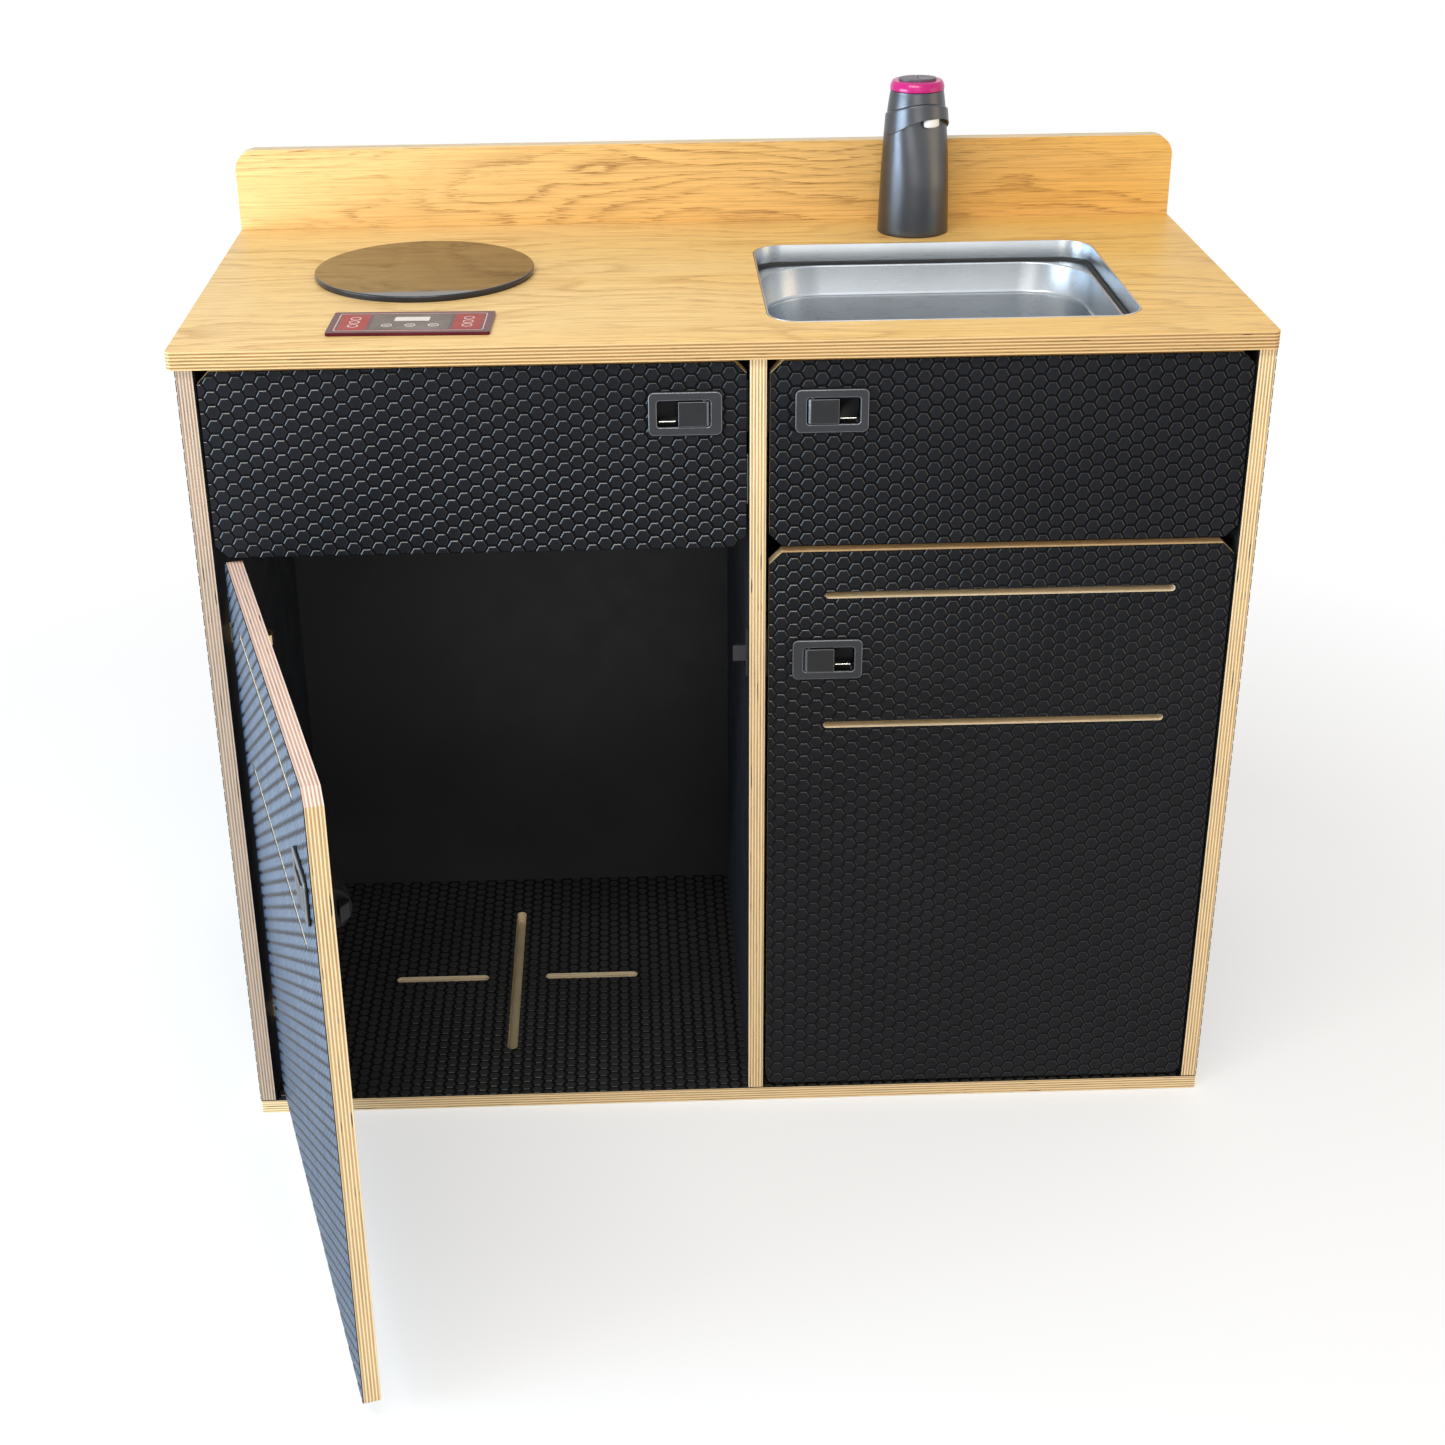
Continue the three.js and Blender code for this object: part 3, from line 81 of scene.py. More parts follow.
# The embossed hexagons of the faced plywood
HEX_PITCH = 12.55 * MM
HEX_COLUMN = HEX_PITCH * math.sqrt(3) / 2
HEX_FOOT = 10.9 * MM
HEX_TOP = 9.3 * MM
HEX_RELIEF = 0.5 * MM
HEX_SINK = 0.1 * MM
HEX_EDGE_MARGIN = 0.5 * MM
HEX_FOOT_DEPTH = HEX_RELIEF + HEX_SINK


# Shader building blocks

class Nodes:
    """A node tree under construction. Most methods add nodes and give back an output."""

    def __init__(self, tree):
        self.tree = tree

    def put(self, socket, value):
        if isinstance(value, bpy.types.NodeSocket):
            self.tree.links.new(value, socket)
        else:
            socket.default_value = (*value, 1) if socket.type == "RGBA" else value

    def add(self, kind, inputs=(), **settings):
        """A new node, its settings, and its inputs by name or number."""
        made = self.tree.nodes.new("ShaderNode" + kind)
        for key, value in settings.items():
            setattr(made, key, value)
        for key, value in dict(inputs).items():
            self.put(made.inputs[key], value)
        return made

    def maths(self, operation, a, b=0.0):
        return self.add("Math", {0: a, 1: b}, operation=operation).outputs[0]

    def times(self, a, b):
        return self.maths("MULTIPLY", a, b)

    def plus(self, a, b):
        return self.maths("ADD", a, b)

    def place(self):
        return self.add("TexCoord").outputs["Object"]

    def plan(self):
        """The place in a board's plan, and its two parts."""
        uv = self.add("UVMap", uv_map="plan").outputs[0]
        return uv, *self.add("SeparateXYZ", {0: uv}).outputs[:2]

    def noise(self, vector, scale, detail=3.0, roughness=0.5):
        inputs = {"Vector": vector, "Scale": scale, "Detail": detail, "Roughness": roughness}
        return self.add("TexNoise", inputs).outputs["Fac"]

    def fibres(self, vector, scales, detail=3.0, roughness=0.5):
        """Noise with its own scale in each direction, so that a low one draws it out."""
        scaled = self.add("VectorMath", {0: vector, 1: (*scales, 1.0)[:3]}, operation="MULTIPLY")
        return self.noise(scaled.outputs[0], 1.0, detail, roughness)

    def spread(self, value, low, high, to_low=0.0, to_high=1.0):
        """Value from low to high, spread from to_low to to_high and held at both ends."""
        inputs = {"Value": value, "From Min": low, "From Max": high, "To Min": to_low, "To Max": to_high}
        return self.add("MapRange", inputs).outputs["Result"]

    def even(self, noise, to_low=0.0, to_high=1.0):
        """Noise spread over the reach that most of it has."""
        return self.spread(noise, 0.3, 0.7, to_low, to_high)

    def blend(self, share, first, second):
        return self.add("Mix", {0: share, 6: first, 7: second}, data_type="RGBA").outputs[2]

    def drive(self, label, value):
        self.put(self.tree.nodes["Principled BSDF"].inputs[label], value)

    def bump(self, height, strength, distance):
        inputs = {"Strength": strength, "Distance": distance, "Height": height}
        self.drive("Normal", self.add("Bump", inputs).outputs[0])

    def pale_ray(self):
        """One where the ray comes from the camera, a mirror or a clear surface."""
        path = self.add("LightPath").outputs
        seen = self.maths("MAXIMUM", path["Is Camera Ray"], path["Is Glossy Ray"])
        return self.maths("MAXIMUM", seen, path["Is Transmission Ray"])


def new_material(name, **settings):
    """A material and its nodes, with the shader's inputs set by name."""
    material = bpy.data.materials.new(name)
    material.use_nodes = True
    nodes = Nodes(material.node_tree)
    for key, value in settings.items():
        nodes.drive(key.replace("_", " ").title().replace("Ior", "IOR"), value)
    return material, nodes


def dimmed(colour, share):
    return tuple(share * c for c in colour)


# Materials

def film_material(name, dark, light, gloss, sheen):
    """Black phenolic film: faint cloudy tone, rubbed patches and a fine grain, with a blue sheen tint that
    stands in for bluish light at low angles, a painted reflection colour.
    """
    material, look = new_material(
        name, specular_ior_level=gloss, sheen_weight=sheen, sheen_roughness=0.35, sheen_tint=(0.34, 0.58, 1.0)
    )
    place = look.place()
    look.drive("Base Color", look.blend(look.even(look.noise(place, 9.0, 4.0)), dark, light))
    look.drive("Roughness", look.even(look.noise(place, 34.0), 0.34, 0.46))
    look.bump(look.noise(place, 1500.0, 2.0), 0.25, 0.05 * MM)
    return material


def groove_material(name, dark, pale, heights):
    """The film between the pads, with painted shade: darker than the pads on the upper fronts, where less
    light from the ground reaches, and about as pale as the pads lower down.
    """
    material, look = new_material(name, roughness=0.6, specular_ior_level=0.06)
    place = look.place()
    height = look.add("SeparateXYZ", {0: place}).outputs[2]
    level = look.plus(height, look.even(look.noise(place, 60.0), -0.02, 0.02))
    look.drive("Base Color", look.blend(look.spread(level, *heights), pale, dark))
    return material


def ply_edge(name, cream, tan, thickness=BOARD):
    """The sawn edge of plywood: plies in turn pale and tan, with thin dark glue lines and small voids."""
    material, look = new_material(name, specular_ior_level=0.3)
    uv, _, across = look.plan()
    wander = look.spread(look.fibres(uv, (14.0, 60.0), 2.0), 0.0, 1.0, -0.3 * MM, 0.3 * MM)
    layer = look.maths("DIVIDE", look.plus(across, wander), thickness / PLIES)
    share = look.maths("FRACT", layer)
    tan_ply = look.maths("GREATER_THAN", look.maths("FRACT", look.times(layer, 0.5)), 0.5)
    fibre = look.fibres(uv, (45.0, 2600.0), 4.0)
    pale = look.blend(look.even(fibre), dimmed(cream, 0.8), cream)
    brown = look.blend(look.spread(look.fibres(uv, (16.0, 420.0)), 0.30, 0.56), dimmed(tan, 0.62), tan)
    fleck = look.fibres(uv, (1100.0, 1100.0), 2.0)
    grained = look.blend(look.spread(fleck, 0.5, 0.7, 0.0, 0.4), brown, dimmed(tan, 0.4))
    plain = look.blend(tan_ply, pale, grained)
    off_middle = look.maths("ABSOLUTE", look.maths("SUBTRACT", share, 0.5))
    glued = look.blend(look.spread(off_middle, 0.40, 0.49, 0.0, 0.55), plain, dimmed(tan, 0.35))
    patch = look.fibres(uv, (24.0, 500.0), 1.0)
    void = look.times(look.maths("GREATER_THAN", patch, 0.70), tan_ply)
    look.drive("Base Color", look.blend(void, glued, (0.05, 0.025, 0.012)))
    look.drive("Roughness", look.even(fibre, 0.5, 0.62))
    look.bump(look.plus(tan_ply, fleck), 0.15, 0.1 * MM)
    return material


def oak_material(name, pale, deep, dark, rings_by, streaks, warm):
    """Oak laminate, its grain along the first direction: tone, rings with combed edges, streaks and pores,
    and painted light that shifts the tone from pale to deep along the grain, for cooler light at one end and
    warmer light at the other.
    """
    material, look = new_material(name, specular_ior_level=0.22)
    ring_scale, ring_swing = rings_by
    uv, along, across = look.plan()
    comb = look.fibres(uv, (11.0, 700.0), 4.0, 0.7)
    combed = look.plus(along, look.spread(comb, 0.2, 0.8, -0.024, 0.024))
    shifted = look.add("CombineXYZ", {0: combed, 1: across}).outputs[0]
    swing = look.spread(look.fibres(shifted, (2.6, 9.0), 2.0, 0.45), 0.0, 1.0, 0.0, ring_swing)
    rings = look.plus(look.times(across, ring_scale), swing)
    late = look.maths("POWER", look.maths("FRACT", rings), 5.0)
    broad = look.fibres(uv, (1.1, 16.0))
    # Painted light: a ramp along the grain from pale to deep, standing in for cooler light at one end and
    # warmer light at the other, under random broad tone.
    side = look.plus(look.spread(along, *warm), look.even(broad, -0.3, 0.3))
    tone = look.blend(look.spread(side, 0.0, 1.0), pale, deep)
    thin = look.fibres(uv, (7.0, 560.0), 5.0, 0.65)
    streaked = look.blend(look.spread(thin, 0.46, 0.68, 0.0, streaks), tone, dark)
    zones = look.spread(look.fibres(uv, (3.0, 9.0), 2.0), 0.38, 0.54, 0.15, 1.0)
    broken = look.spread(look.fibres(uv, (38.0, 1000.0), 3.0, 0.6), 0.42, 0.58, 0.15, 1.0)
    figured = look.blend(look.times(look.times(late, broken), zones), streaked, dark)
    pores = look.fibres(uv, (26.0, 900.0))
    pitted = look.blend(look.spread(pores, 0.60, 0.72, 0.0, 1.6 * streaks), figured, dimmed(dark, 0.7))
    look.drive("Base Color", pitted)
    look.drive("Roughness", look.even(thin, 0.34, 0.46))
    look.bump(pores, 0.12, 0.05 * MM)
    return material


def birch_material(name):
    """Bare birch face veneer."""
    material, look = new_material(name, roughness=0.6, specular_ior_level=0.3)
    uv, _, _ = look.plan()
    tone = look.blend(look.even(look.fibres(uv, (2.0, 14.0), 4.0)), (0.78, 0.60, 0.39), (0.68, 0.48, 0.28))
    fine = look.fibres(uv, (20.0, 700.0))
    look.drive("Base Color", look.blend(look.spread(fine, 0.5, 0.8, 0.0, 0.4), tone, (0.5, 0.32, 0.17)))
    look.bump(fine, 0.1, 0.05 * MM)
    return material


def moulded(name, dark, light, rough, gloss=0.5, grain=0.2, grain_scale=1400.0, **settings):
    """Moulded or coated surface: faint cloud in tone and gloss, and a fine grain."""
    material, look = new_material(name, specular_ior_level=gloss, **settings)
    place = look.place()
    look.drive("Base Color", look.blend(look.even(look.noise(place, 30.0)), dark, light))
    look.drive("Roughness", look.even(look.noise(place, 70.0), *rough))
    if grain:
        look.bump(look.noise(place, grain_scale, 2.0), grain, 0.04 * MM)
    return material


def brushed(name, colour, rough, direction, strength=0.25):
    """Metal with fine lines along one direction."""
    material, look = new_material(name, metallic=1.0)
    place = look.place()
    lines = look.fibres(place, direction)
    look.drive("Base Color", look.blend(look.even(look.noise(place, 14.0)), dimmed(colour, 0.86), colour))
    look.drive("Roughness", look.spread(lines, 0.25, 0.75, *rough))
    look.bump(lines, strength, 0.01 * MM)
    return material


ROSE_CREAM = (0.90, 0.76, 0.66)
ROSE_TAN = (0.62, 0.38, 0.30)
# A darker copy of the ply edge for the left side panel, which the lamps on the left light most: painted
# shade.
SHADED_CREAM = (0.58, 0.45, 0.34)
SHADED_TAN = (0.34, 0.22, 0.14)
GOLD_CREAM = (0.96, 0.77, 0.47)
GOLD_TAN = (0.60, 0.37, 0.16)

film = film_material("film_pads", (0.0062, 0.0064, 0.0080), (0.0095, 0.0098, 0.0115), 0.12, 0.42)
# A paler copy of the hex film for the cupboard's floor, where little light reaches: painted light.
floor_film = film_material("film_floor", (0.024, 0.024, 0.024), (0.034, 0.034, 0.034), 0.24, 0.1)
# Paler than the hex film outside: painted light on the inner faces and the back panel, where little light
# reaches.
smooth_film = film_material("film_smooth", (0.026, 0.0265, 0.027), (0.033, 0.0335, 0.035), 0.2, 0.02)
rim_film = moulded("film_rims", (0.007, 0.007, 0.009), (0.011, 0.011, 0.013), (0.17, 0.26), 0.34, grain=0)
# Painted shade between the pads, deepest on the upper fronts.
groove = groove_material("film_grooves", (0.0028, 0.0029, 0.0036), (0.0080, 0.0081, 0.0083), (0.50, 0.60))
rose_edge = ply_edge("edge_rose", ROSE_CREAM, ROSE_TAN)
shaded_edge = ply_edge("edge_shaded", SHADED_CREAM, SHADED_TAN)
gold_edge = ply_edge("edge_gold", GOLD_CREAM, GOLD_TAN)
# A paler copy of the ply edge for the walls of slots: painted light where little light reaches inside them.
slot_edge = ply_edge("edge_slot", (0.96, 0.84, 0.62), (0.84, 0.66, 0.42))
top_edge = ply_edge("edge_worktop", (0.75, 0.50, 0.23), (0.39, 0.21, 0.07), 16 * MM)
pale_edge = ply_edge("edge_upstand", (0.95, 0.82, 0.58), (0.80, 0.60, 0.36))
# The last pair of each oak spans its ramp of painted warm light along the board.
oak = oak_material(
    "oak_worktop", (0.88, 0.63, 0.275), (0.88, 0.55, 0.15), (0.42, 0.19, 0.04), (30.0, 9.0), 0.55,
    (-0.2, 0.45),
)
oak_upright = oak_material(
    "oak_upstand", (0.80, 0.52, 0.215), (0.78, 0.45, 0.12), (0.22, 0.09, 0.02), (60.0, 16.0), 0.4,
    (-0.5, 0.6),
)
birch = birch_material("birch_face")
latch_plastic = moulded("latch_plastic", (0.022, 0.023, 0.026), (0.028, 0.029, 0.033), (0.28, 0.36), 0.35)
# Pale glossy plastic on the slanted faces of the latch bezels and paddles: painted glints along their edges.
painted_edge_glint = moulded("latch_edge_glints", (0.085, 0.090, 0.100), (0.13, 0.135, 0.15), (0.18, 0.28), 0.9, grain=0)
paddle_plastic = moulded("paddle_plastic", (0.011, 0.011, 0.0125), (0.015, 0.015, 0.0165), (0.32, 0.42), 0.3)
# A darker copy of the latch plastic for the case and bolt behind the bezel: painted shade inside the latch
# window.
case_plastic = moulded("case_plastic", (0.004, 0.004, 0.0045), (0.007, 0.007, 0.0075), (0.25, 0.35), 0.14)
black_moulding = moulded("black_moulding", (0.012, 0.012, 0.012), (0.02, 0.02, 0.02), (0.4, 0.5))
rubber = moulded("seal_rubber", (0.008, 0.008, 0.009), (0.014, 0.014, 0.015), (0.55, 0.7))
enamel = moulded("hob_enamel", (0.010, 0.010, 0.011), (0.014, 0.014, 0.015), (0.25, 0.35))
gunmetal = moulded(
    "gunmetal", (0.088, 0.093, 0.104), (0.100, 0.106, 0.118), (0.30, 0.35), grain=0.04, grain_scale=2600.0,
    metallic=0.9,
)
hob_edge = moulded("hob_edge", (0.010, 0.012, 0.020), (0.016, 0.018, 0.030), (0.15, 0.25), grain=0)
button_grey = moulded("button_grey", (0.075, 0.06, 0.085), (0.11, 0.09, 0.12), (0.35, 0.45))
magenta = moulded("magenta_ring", (0.46, 0.005, 0.15), (0.55, 0.008, 0.19), (0.16, 0.22), 0.4, grain=0)
hob_glass = moulded(
    "hob_glass", (0.020, 0.014, 0.010), (0.026, 0.018, 0.012), (0.02, 0.045), grain=0, ior=2.0
)
control_glass = moulded(
    "control_glass", (0.075, 0.008, 0.014), (0.10, 0.012, 0.020), (0.12, 0.18), 0.16, grain=0
)
mark_pink = moulded("mark_pink", (0.72, 0.40, 0.38), (0.80, 0.46, 0.44), (0.2, 0.3), 0.12, grain=0)
mark_red = moulded("mark_red", (0.30, 0.012, 0.014), (0.36, 0.016, 0.018), (0.2, 0.3), 0.12, grain=0)
mark_pale = moulded("mark_pale", (0.66, 0.63, 0.60), (0.78, 0.75, 0.72), (0.2, 0.3), 0.12, grain=0)
mark_grey = moulded("mark_grey", (0.09, 0.075, 0.07), (0.16, 0.135, 0.12), (0.2, 0.3), 0.12, grain=0)
nozzle_white = moulded("nozzle_white", (0.86, 0.85, 0.82), (0.92, 0.91, 0.88), (0.15, 0.25))
ground_shade = moulded("ground_shade", (0.34, 0.29, 0.18), (0.42, 0.36, 0.23), (0.8, 0.9))
nickel = brushed("nickel_plate", (0.74, 0.57, 0.31), (0.22, 0.36), (160.0, 160.0, 900.0))
zinc = brushed("zinc_steel", (0.60, 0.62, 0.64), (0.28, 0.42), (900.0, 40.0, 900.0))
# Steel grey tinted blue, standing in for bluish reflected light: a painted reflection colour on the steel's
# own grey.
steel = brushed("stainless", (0.53, 0.57, 0.61), (0.26, 0.33), (40.0, 900.0, 900.0), 0.02)
bright_steel = brushed("bright_steel", (0.86, 0.84, 0.78), (0.12, 0.22), (300.0, 300.0, 300.0), 0.1)


# Outlines and meshes

def corner_outline(u0, u1, v0, v1, lower, upper):
    """A rectangle whose corners are cut by (size, steps): one step is a chamfer, more make an arc."""
    corners = ((u0, v0, lower, 180), (u1, v0, lower, 270), (u1, v1, upper, 0), (u0, v1, upper, 90))
    points = []
    for u, v, (size, steps), first in corners:
        centre_u = u + size if u == u0 else u - size
        centre_v = v + size if v == v0 else v - size
        if size == 0:
            points.append((u, v))
            continue
        for step in range(steps + 1):
            angle = math.radians(first + 90 * step / steps)
            points.append((centre_u + size * math.cos(angle), centre_v + size * math.sin(angle)))
    return points


def rounded(u0, u1, v0, v1, corner, steps):
    return corner_outline(u0, u1, v0, v1, (corner, steps), (corner, steps))


def block(u, v, half_u, half_v, corner, steps=5):
    return rounded(u - half_u, u + half_u, v - half_v, v + half_v, corner, steps)


def circle(u, v, radius, steps):
    angles = [math.tau * step / steps for step in range(steps)]
    return [(u + radius * math.cos(a), v + radius * math.sin(a)) for a in angles]


def bevelled(mesh, width, degrees=30):
    sharp = [e for e in mesh.edges if e.is_manifold and e.calc_face_angle() > math.radians(degrees)]
    bmesh.ops.bevel(
        mesh, geom=sharp, offset=width, offset_type="OFFSET", segments=2, profile=0.5, affect="EDGES",
        clamp_overlap=False,
    )


def plate(outer, holes, w0, w1, pockets=(), arris=ARRIS):
    """A closed plate from w0 to w1 with holes through it, and pockets (loop, depth) sunk from w1."""
    mesh = bmesh.new()

    def raise_loop(loop, w):
        return [mesh.verts.new((u, v, w)) for u, v in loop]

    def cap(loops):
        flat = [[Vector((p.co.x, p.co.y, 0)) for p in loop] for loop in loops]
        corners = [p for loop in loops for p in loop]
        for face in tessellate_polygon(flat):
            mesh.faces.new([corners[i] for i in face])

    def wall(low, high):
        for i in range(len(low)):
            j = (i + 1) % len(low)
            mesh.faces.new((low[i], low[j], high[j], high[i]))

    lows = [raise_loop(loop, w0) for loop in (outer, *holes)]
    highs = [raise_loop(loop, w1) for loop in (outer, *holes)]
    for low, high in zip(lows, highs):
        wall(low, high)
    sunk = []
    for loop, depth in pockets:
        mouth = raise_loop(loop, w1)
        floor = raise_loop(loop, w1 - depth)
        wall(floor, mouth)
        cap([floor])
        sunk.append(mouth)
    cap(lows)
    cap(highs + sunk)
    bmesh.ops.recalc_face_normals(mesh, faces=mesh.faces)
    if arris:
        bevelled(mesh, arris)
    return mesh


def clipped(points, nu, nv, reach):
    """What of a convex outline lies where nu * u + nv * v is at most reach."""
    kept = []
    for i, a in enumerate(points):
        b = points[(i + 1) % len(points)]
        side_a = nu * a[0] + nv * a[1] - reach
        side_b = nu * b[0] + nv * b[1] - reach
        if side_a <= 0:
            kept.append(a)
        if side_a * side_b < 0:
            share = side_a / (side_a - side_b)
            kept.append((a[0] + share * (b[0] - a[0]), a[1] + share * (b[1] - a[1])))
    return kept


def hexagon(u, v, across):
    reach = across / math.sqrt(3)
    angles = [math.radians(60 * i) for i in range(6)]
    return [(u + reach * math.cos(a), v + reach * math.sin(a)) for a in angles]


def outline_sides(outer, margin):
    """The half-planes that a convex outline keeps, drawn in by a margin."""
    sides = []
    for i, a in enumerate(outer):
        b = outer[(i + 1) % len(outer)]
        du, dv = b[0] - a[0], b[1] - a[1]
        length = math.hypot(du, dv)
        if length < 1e-7:
            continue
        nu, nv = dv / length, -du / length
        sides.append((nu, nv, nu * a[0] + nv * a[1] - margin))
    return sides


def beside_hole(points, hole):
    """The parts of an outline below, above, left and right of a rectangular hole."""
    u0, u1, v0, v1 = hole
    level = clipped(clipped(points, 0, 1, v1), 0, -1, -v0)
    below, above = clipped(points, 0, 1, v0), clipped(points, 0, -1, -v1)
    parts = (below, above, clipped(level, 1, 0, u0), clipped(level, -1, 0, -u1))
    return [part for part in parts if len(part) > 2]


def in_box(u, v, box, reach):
    return box[0] - reach < u < box[1] + reach and box[2] - reach < v < box[3] + reach


def mesh_lists(mesh):
    mesh.verts.index_update()
    verts = [tuple(v.co) for v in mesh.verts]
    faces = [tuple(v.index for v in f.verts) for f in mesh.faces]
    mesh.free()
    return verts, faces


def append_lists(verts, faces, more_verts, more_faces):
    base = len(verts)
    verts += more_verts
    faces += [tuple(base + i for i in face) for face in more_faces]


def pad_hull(top, foot):
    """A closed pad between a top outline and a wider foot outline."""
    hull = bmesh.new()
    for points, w in ((top, 0.0), (foot, HEX_FOOT_DEPTH)):
        for u, v in points:
            hull.verts.new((u, v, w))
    bmesh.ops.remove_doubles(hull, verts=hull.verts, dist=1e-6)
    bmesh.ops.convex_hull(hull, input=hull.verts)
    loose = [v for v in hull.verts if not v.link_faces]
    bmesh.ops.delete(hull, geom=loose, context="VERTS")
    bmesh.ops.dissolve_limit(hull, angle_limit=0.02, verts=hull.verts, edges=hull.edges)
    return mesh_lists(hull)


def pads(outer, holes):
    """Raised hexagons over a board's face, cut off at its outline and its holes."""
    sides = outline_sides(outer, HEX_EDGE_MARGIN)
    us, vs = zip(*outer)
    reach = HEX_FOOT / math.sqrt(3)
    verts, faces = [], []
    whole = [(5, 4, 3, 2, 1, 0), (6, 7, 8, 9, 10, 11)]
    whole += [(i, (i + 1) % 6, 6 + (i + 1) % 6, 6 + i) for i in range(6)]
    columns = int((max(us) - min(us)) / HEX_COLUMN) + 2
    rows = int((max(vs) - min(vs)) / HEX_PITCH) + 2
    for column, row in itertools.product(range(columns), range(rows)):
        u = min(us) + column * HEX_COLUMN
        v = min(vs) + (row + 0.5 * (column % 2)) * HEX_PITCH
        overhang = max(nu * u + nv * v - limit for nu, nv, limit in sides)
        if overhang > reach:
            continue
        near = [hole for hole in holes if in_box(u, v, hole, reach)]
        top, foot = hexagon(u, v, HEX_TOP), hexagon(u, v, HEX_FOOT)
        if not near and overhang < -reach:
            points = [(a, b, 0.0) for a, b in top] + [(a, b, HEX_FOOT_DEPTH) for a, b in foot]
            append_lists(verts, faces, points, whole)
            continue
        for nu, nv, limit in sides:
            top, foot = clipped(top, nu, nv, limit), clipped(foot, nu, nv, limit)
        feet = [foot]
        for u0, u1, v0, v1 in near:
            grown = (u0 - ARRIS, u1 + ARRIS, v0 - ARRIS, v1 + ARRIS)
            feet = [part for piece in feet for part in beside_hole(piece, grown)]
        for foot_part in feet:
            if len(foot_part) < 3 or len(top) < 3:
                continue
            hull = [foot_part[i] for i in convex_hull_2d([Vector(p) for p in foot_part])]
            top_part = top
            for nu, nv, limit in outline_sides(hull, 0.0):
                top_part = clipped(top_part, nu, nv, limit)
            if len(top_part) > 2:
                append_lists(verts, faces, *pad_hull(top_part, foot_part))
    return verts, faces


def lay_out(data):
    """The plan of a board: in its plane on the faces, along and across the plies on the edges."""
    def read(items, key, width=1, kind=np.int32):
        values = np.empty(len(items) * width, kind)
        items.foreach_get(key, values)
        return values

    place = read(data.vertices, "co", 3, np.float32).reshape(-1, 3)[read(data.loops, "vertex_index")]
    normal = read(data.polygons, "normal", 3, np.float32).reshape(-1, 3)
    normal = np.repeat(normal, read(data.polygons, "loop_total"), axis=0)
    side = np.hypot(normal[:, 0], normal[:, 1]) + 1e-9
    along = (place[:, 0] * -normal[:, 1] + place[:, 1] * normal[:, 0]) / side
    flat = np.abs(normal[:, 2:]) > FLAT
    plan = np.where(flat, place[:, :2], np.stack((along, place[:, 2]), axis=1))
    data.uv_layers.new(name="plan").data.foreach_set("uv", plan.astype(np.float32).ravel())


def linked(name, data):
    thing = bpy.data.objects.new(name, data)
    bpy.context.scene.collection.objects.link(thing)
    return thing


def show(name, data, body, nodes=()):
    piece = linked(name, data)
    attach(piece, body)
    if nodes:
        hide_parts(*nodes)
    return piece


def even_shaded(piece):
    """Keeps large faces flat beside their rounded edges."""
    modifier = piece.modifiers.new("even", "WEIGHTED_NORMAL")
    modifier.keep_sharp = True
    modifier.weight = 90
    return piece


def soft_shaded(data, degrees):
    data.shade_smooth()
    data.set_sharp_from_angle(angle=math.radians(degrees))
    return data


def placed(data, matrix):
    data.transform(matrix)
    if matrix.determinant() < 0:
        data.flip_normals()
    return data


def board_frame(eu, ev, ew, origin):
    return Matrix.Translation(origin) @ Matrix((eu, ev, ew)).transposed().to_4x4()


OUTER_FACE, INNER_FACE, EDGE, GROOVE, SLOT_EDGE, TOP_BAND, PAD_RIM = range(7)


def board(node, body, matrix, outer, faces, edge, holes=(), pockets=(), depth=BOARD, hexes=False,
          top_band=None):
    """A board in place of its node: its outer face at w = 0, its inner face at w = depth."""
    sheet = plate(outer, [loop for loop, _ in holes], HEX_RELIEF if hexes else 0.0, depth, pockets)
    verts, loops = mesh_lists(sheet)
    sheet_faces = len(loops)
    if hexes:
        append_lists(verts, loops, *pads(outer, [box for _, box in holes]))
    data = bpy.data.meshes.new(node + "_board")
    data.from_pydata(verts, [], loops)
    data.update()
    lay_out(data)
    for material in (*faces, edge, groove, slot_edge, top_band or edge, rim_film):
        data.materials.append(material)
    for polygon in data.polygons[:sheet_faces]:
        u, v, w = polygon.center
        if abs(polygon.normal.z) >= FLAT:
            choice = INNER_FACE if w > depth / 2 else GROOVE if hexes else OUTER_FACE
        # Walls of slots take the paler slot edge, painted light.
        elif any(box and in_box(u, v, box, 1 * MM) for _, box in holes):
            choice = SLOT_EDGE
        elif hexes and w < HEX_RELIEF + 0.8 * ARRIS:
            choice = GROOVE
        else:
            choice = TOP_BAND if polygon.normal.y > 0.3 else EDGE
        polygon.material_index = choice
    for polygon in data.polygons[sheet_faces:]:
        if polygon.normal.z > -0.95:
            polygon.material_index = PAD_RIM
    soft_shaded(placed(data, matrix), BOARD_SHARP)
    for polygon in data.polygons[sheet_faces:]:
        polygon.use_smooth = False
    return even_shaded(show(node + "_board", data, body, (node,)))


# The cabinet's boards

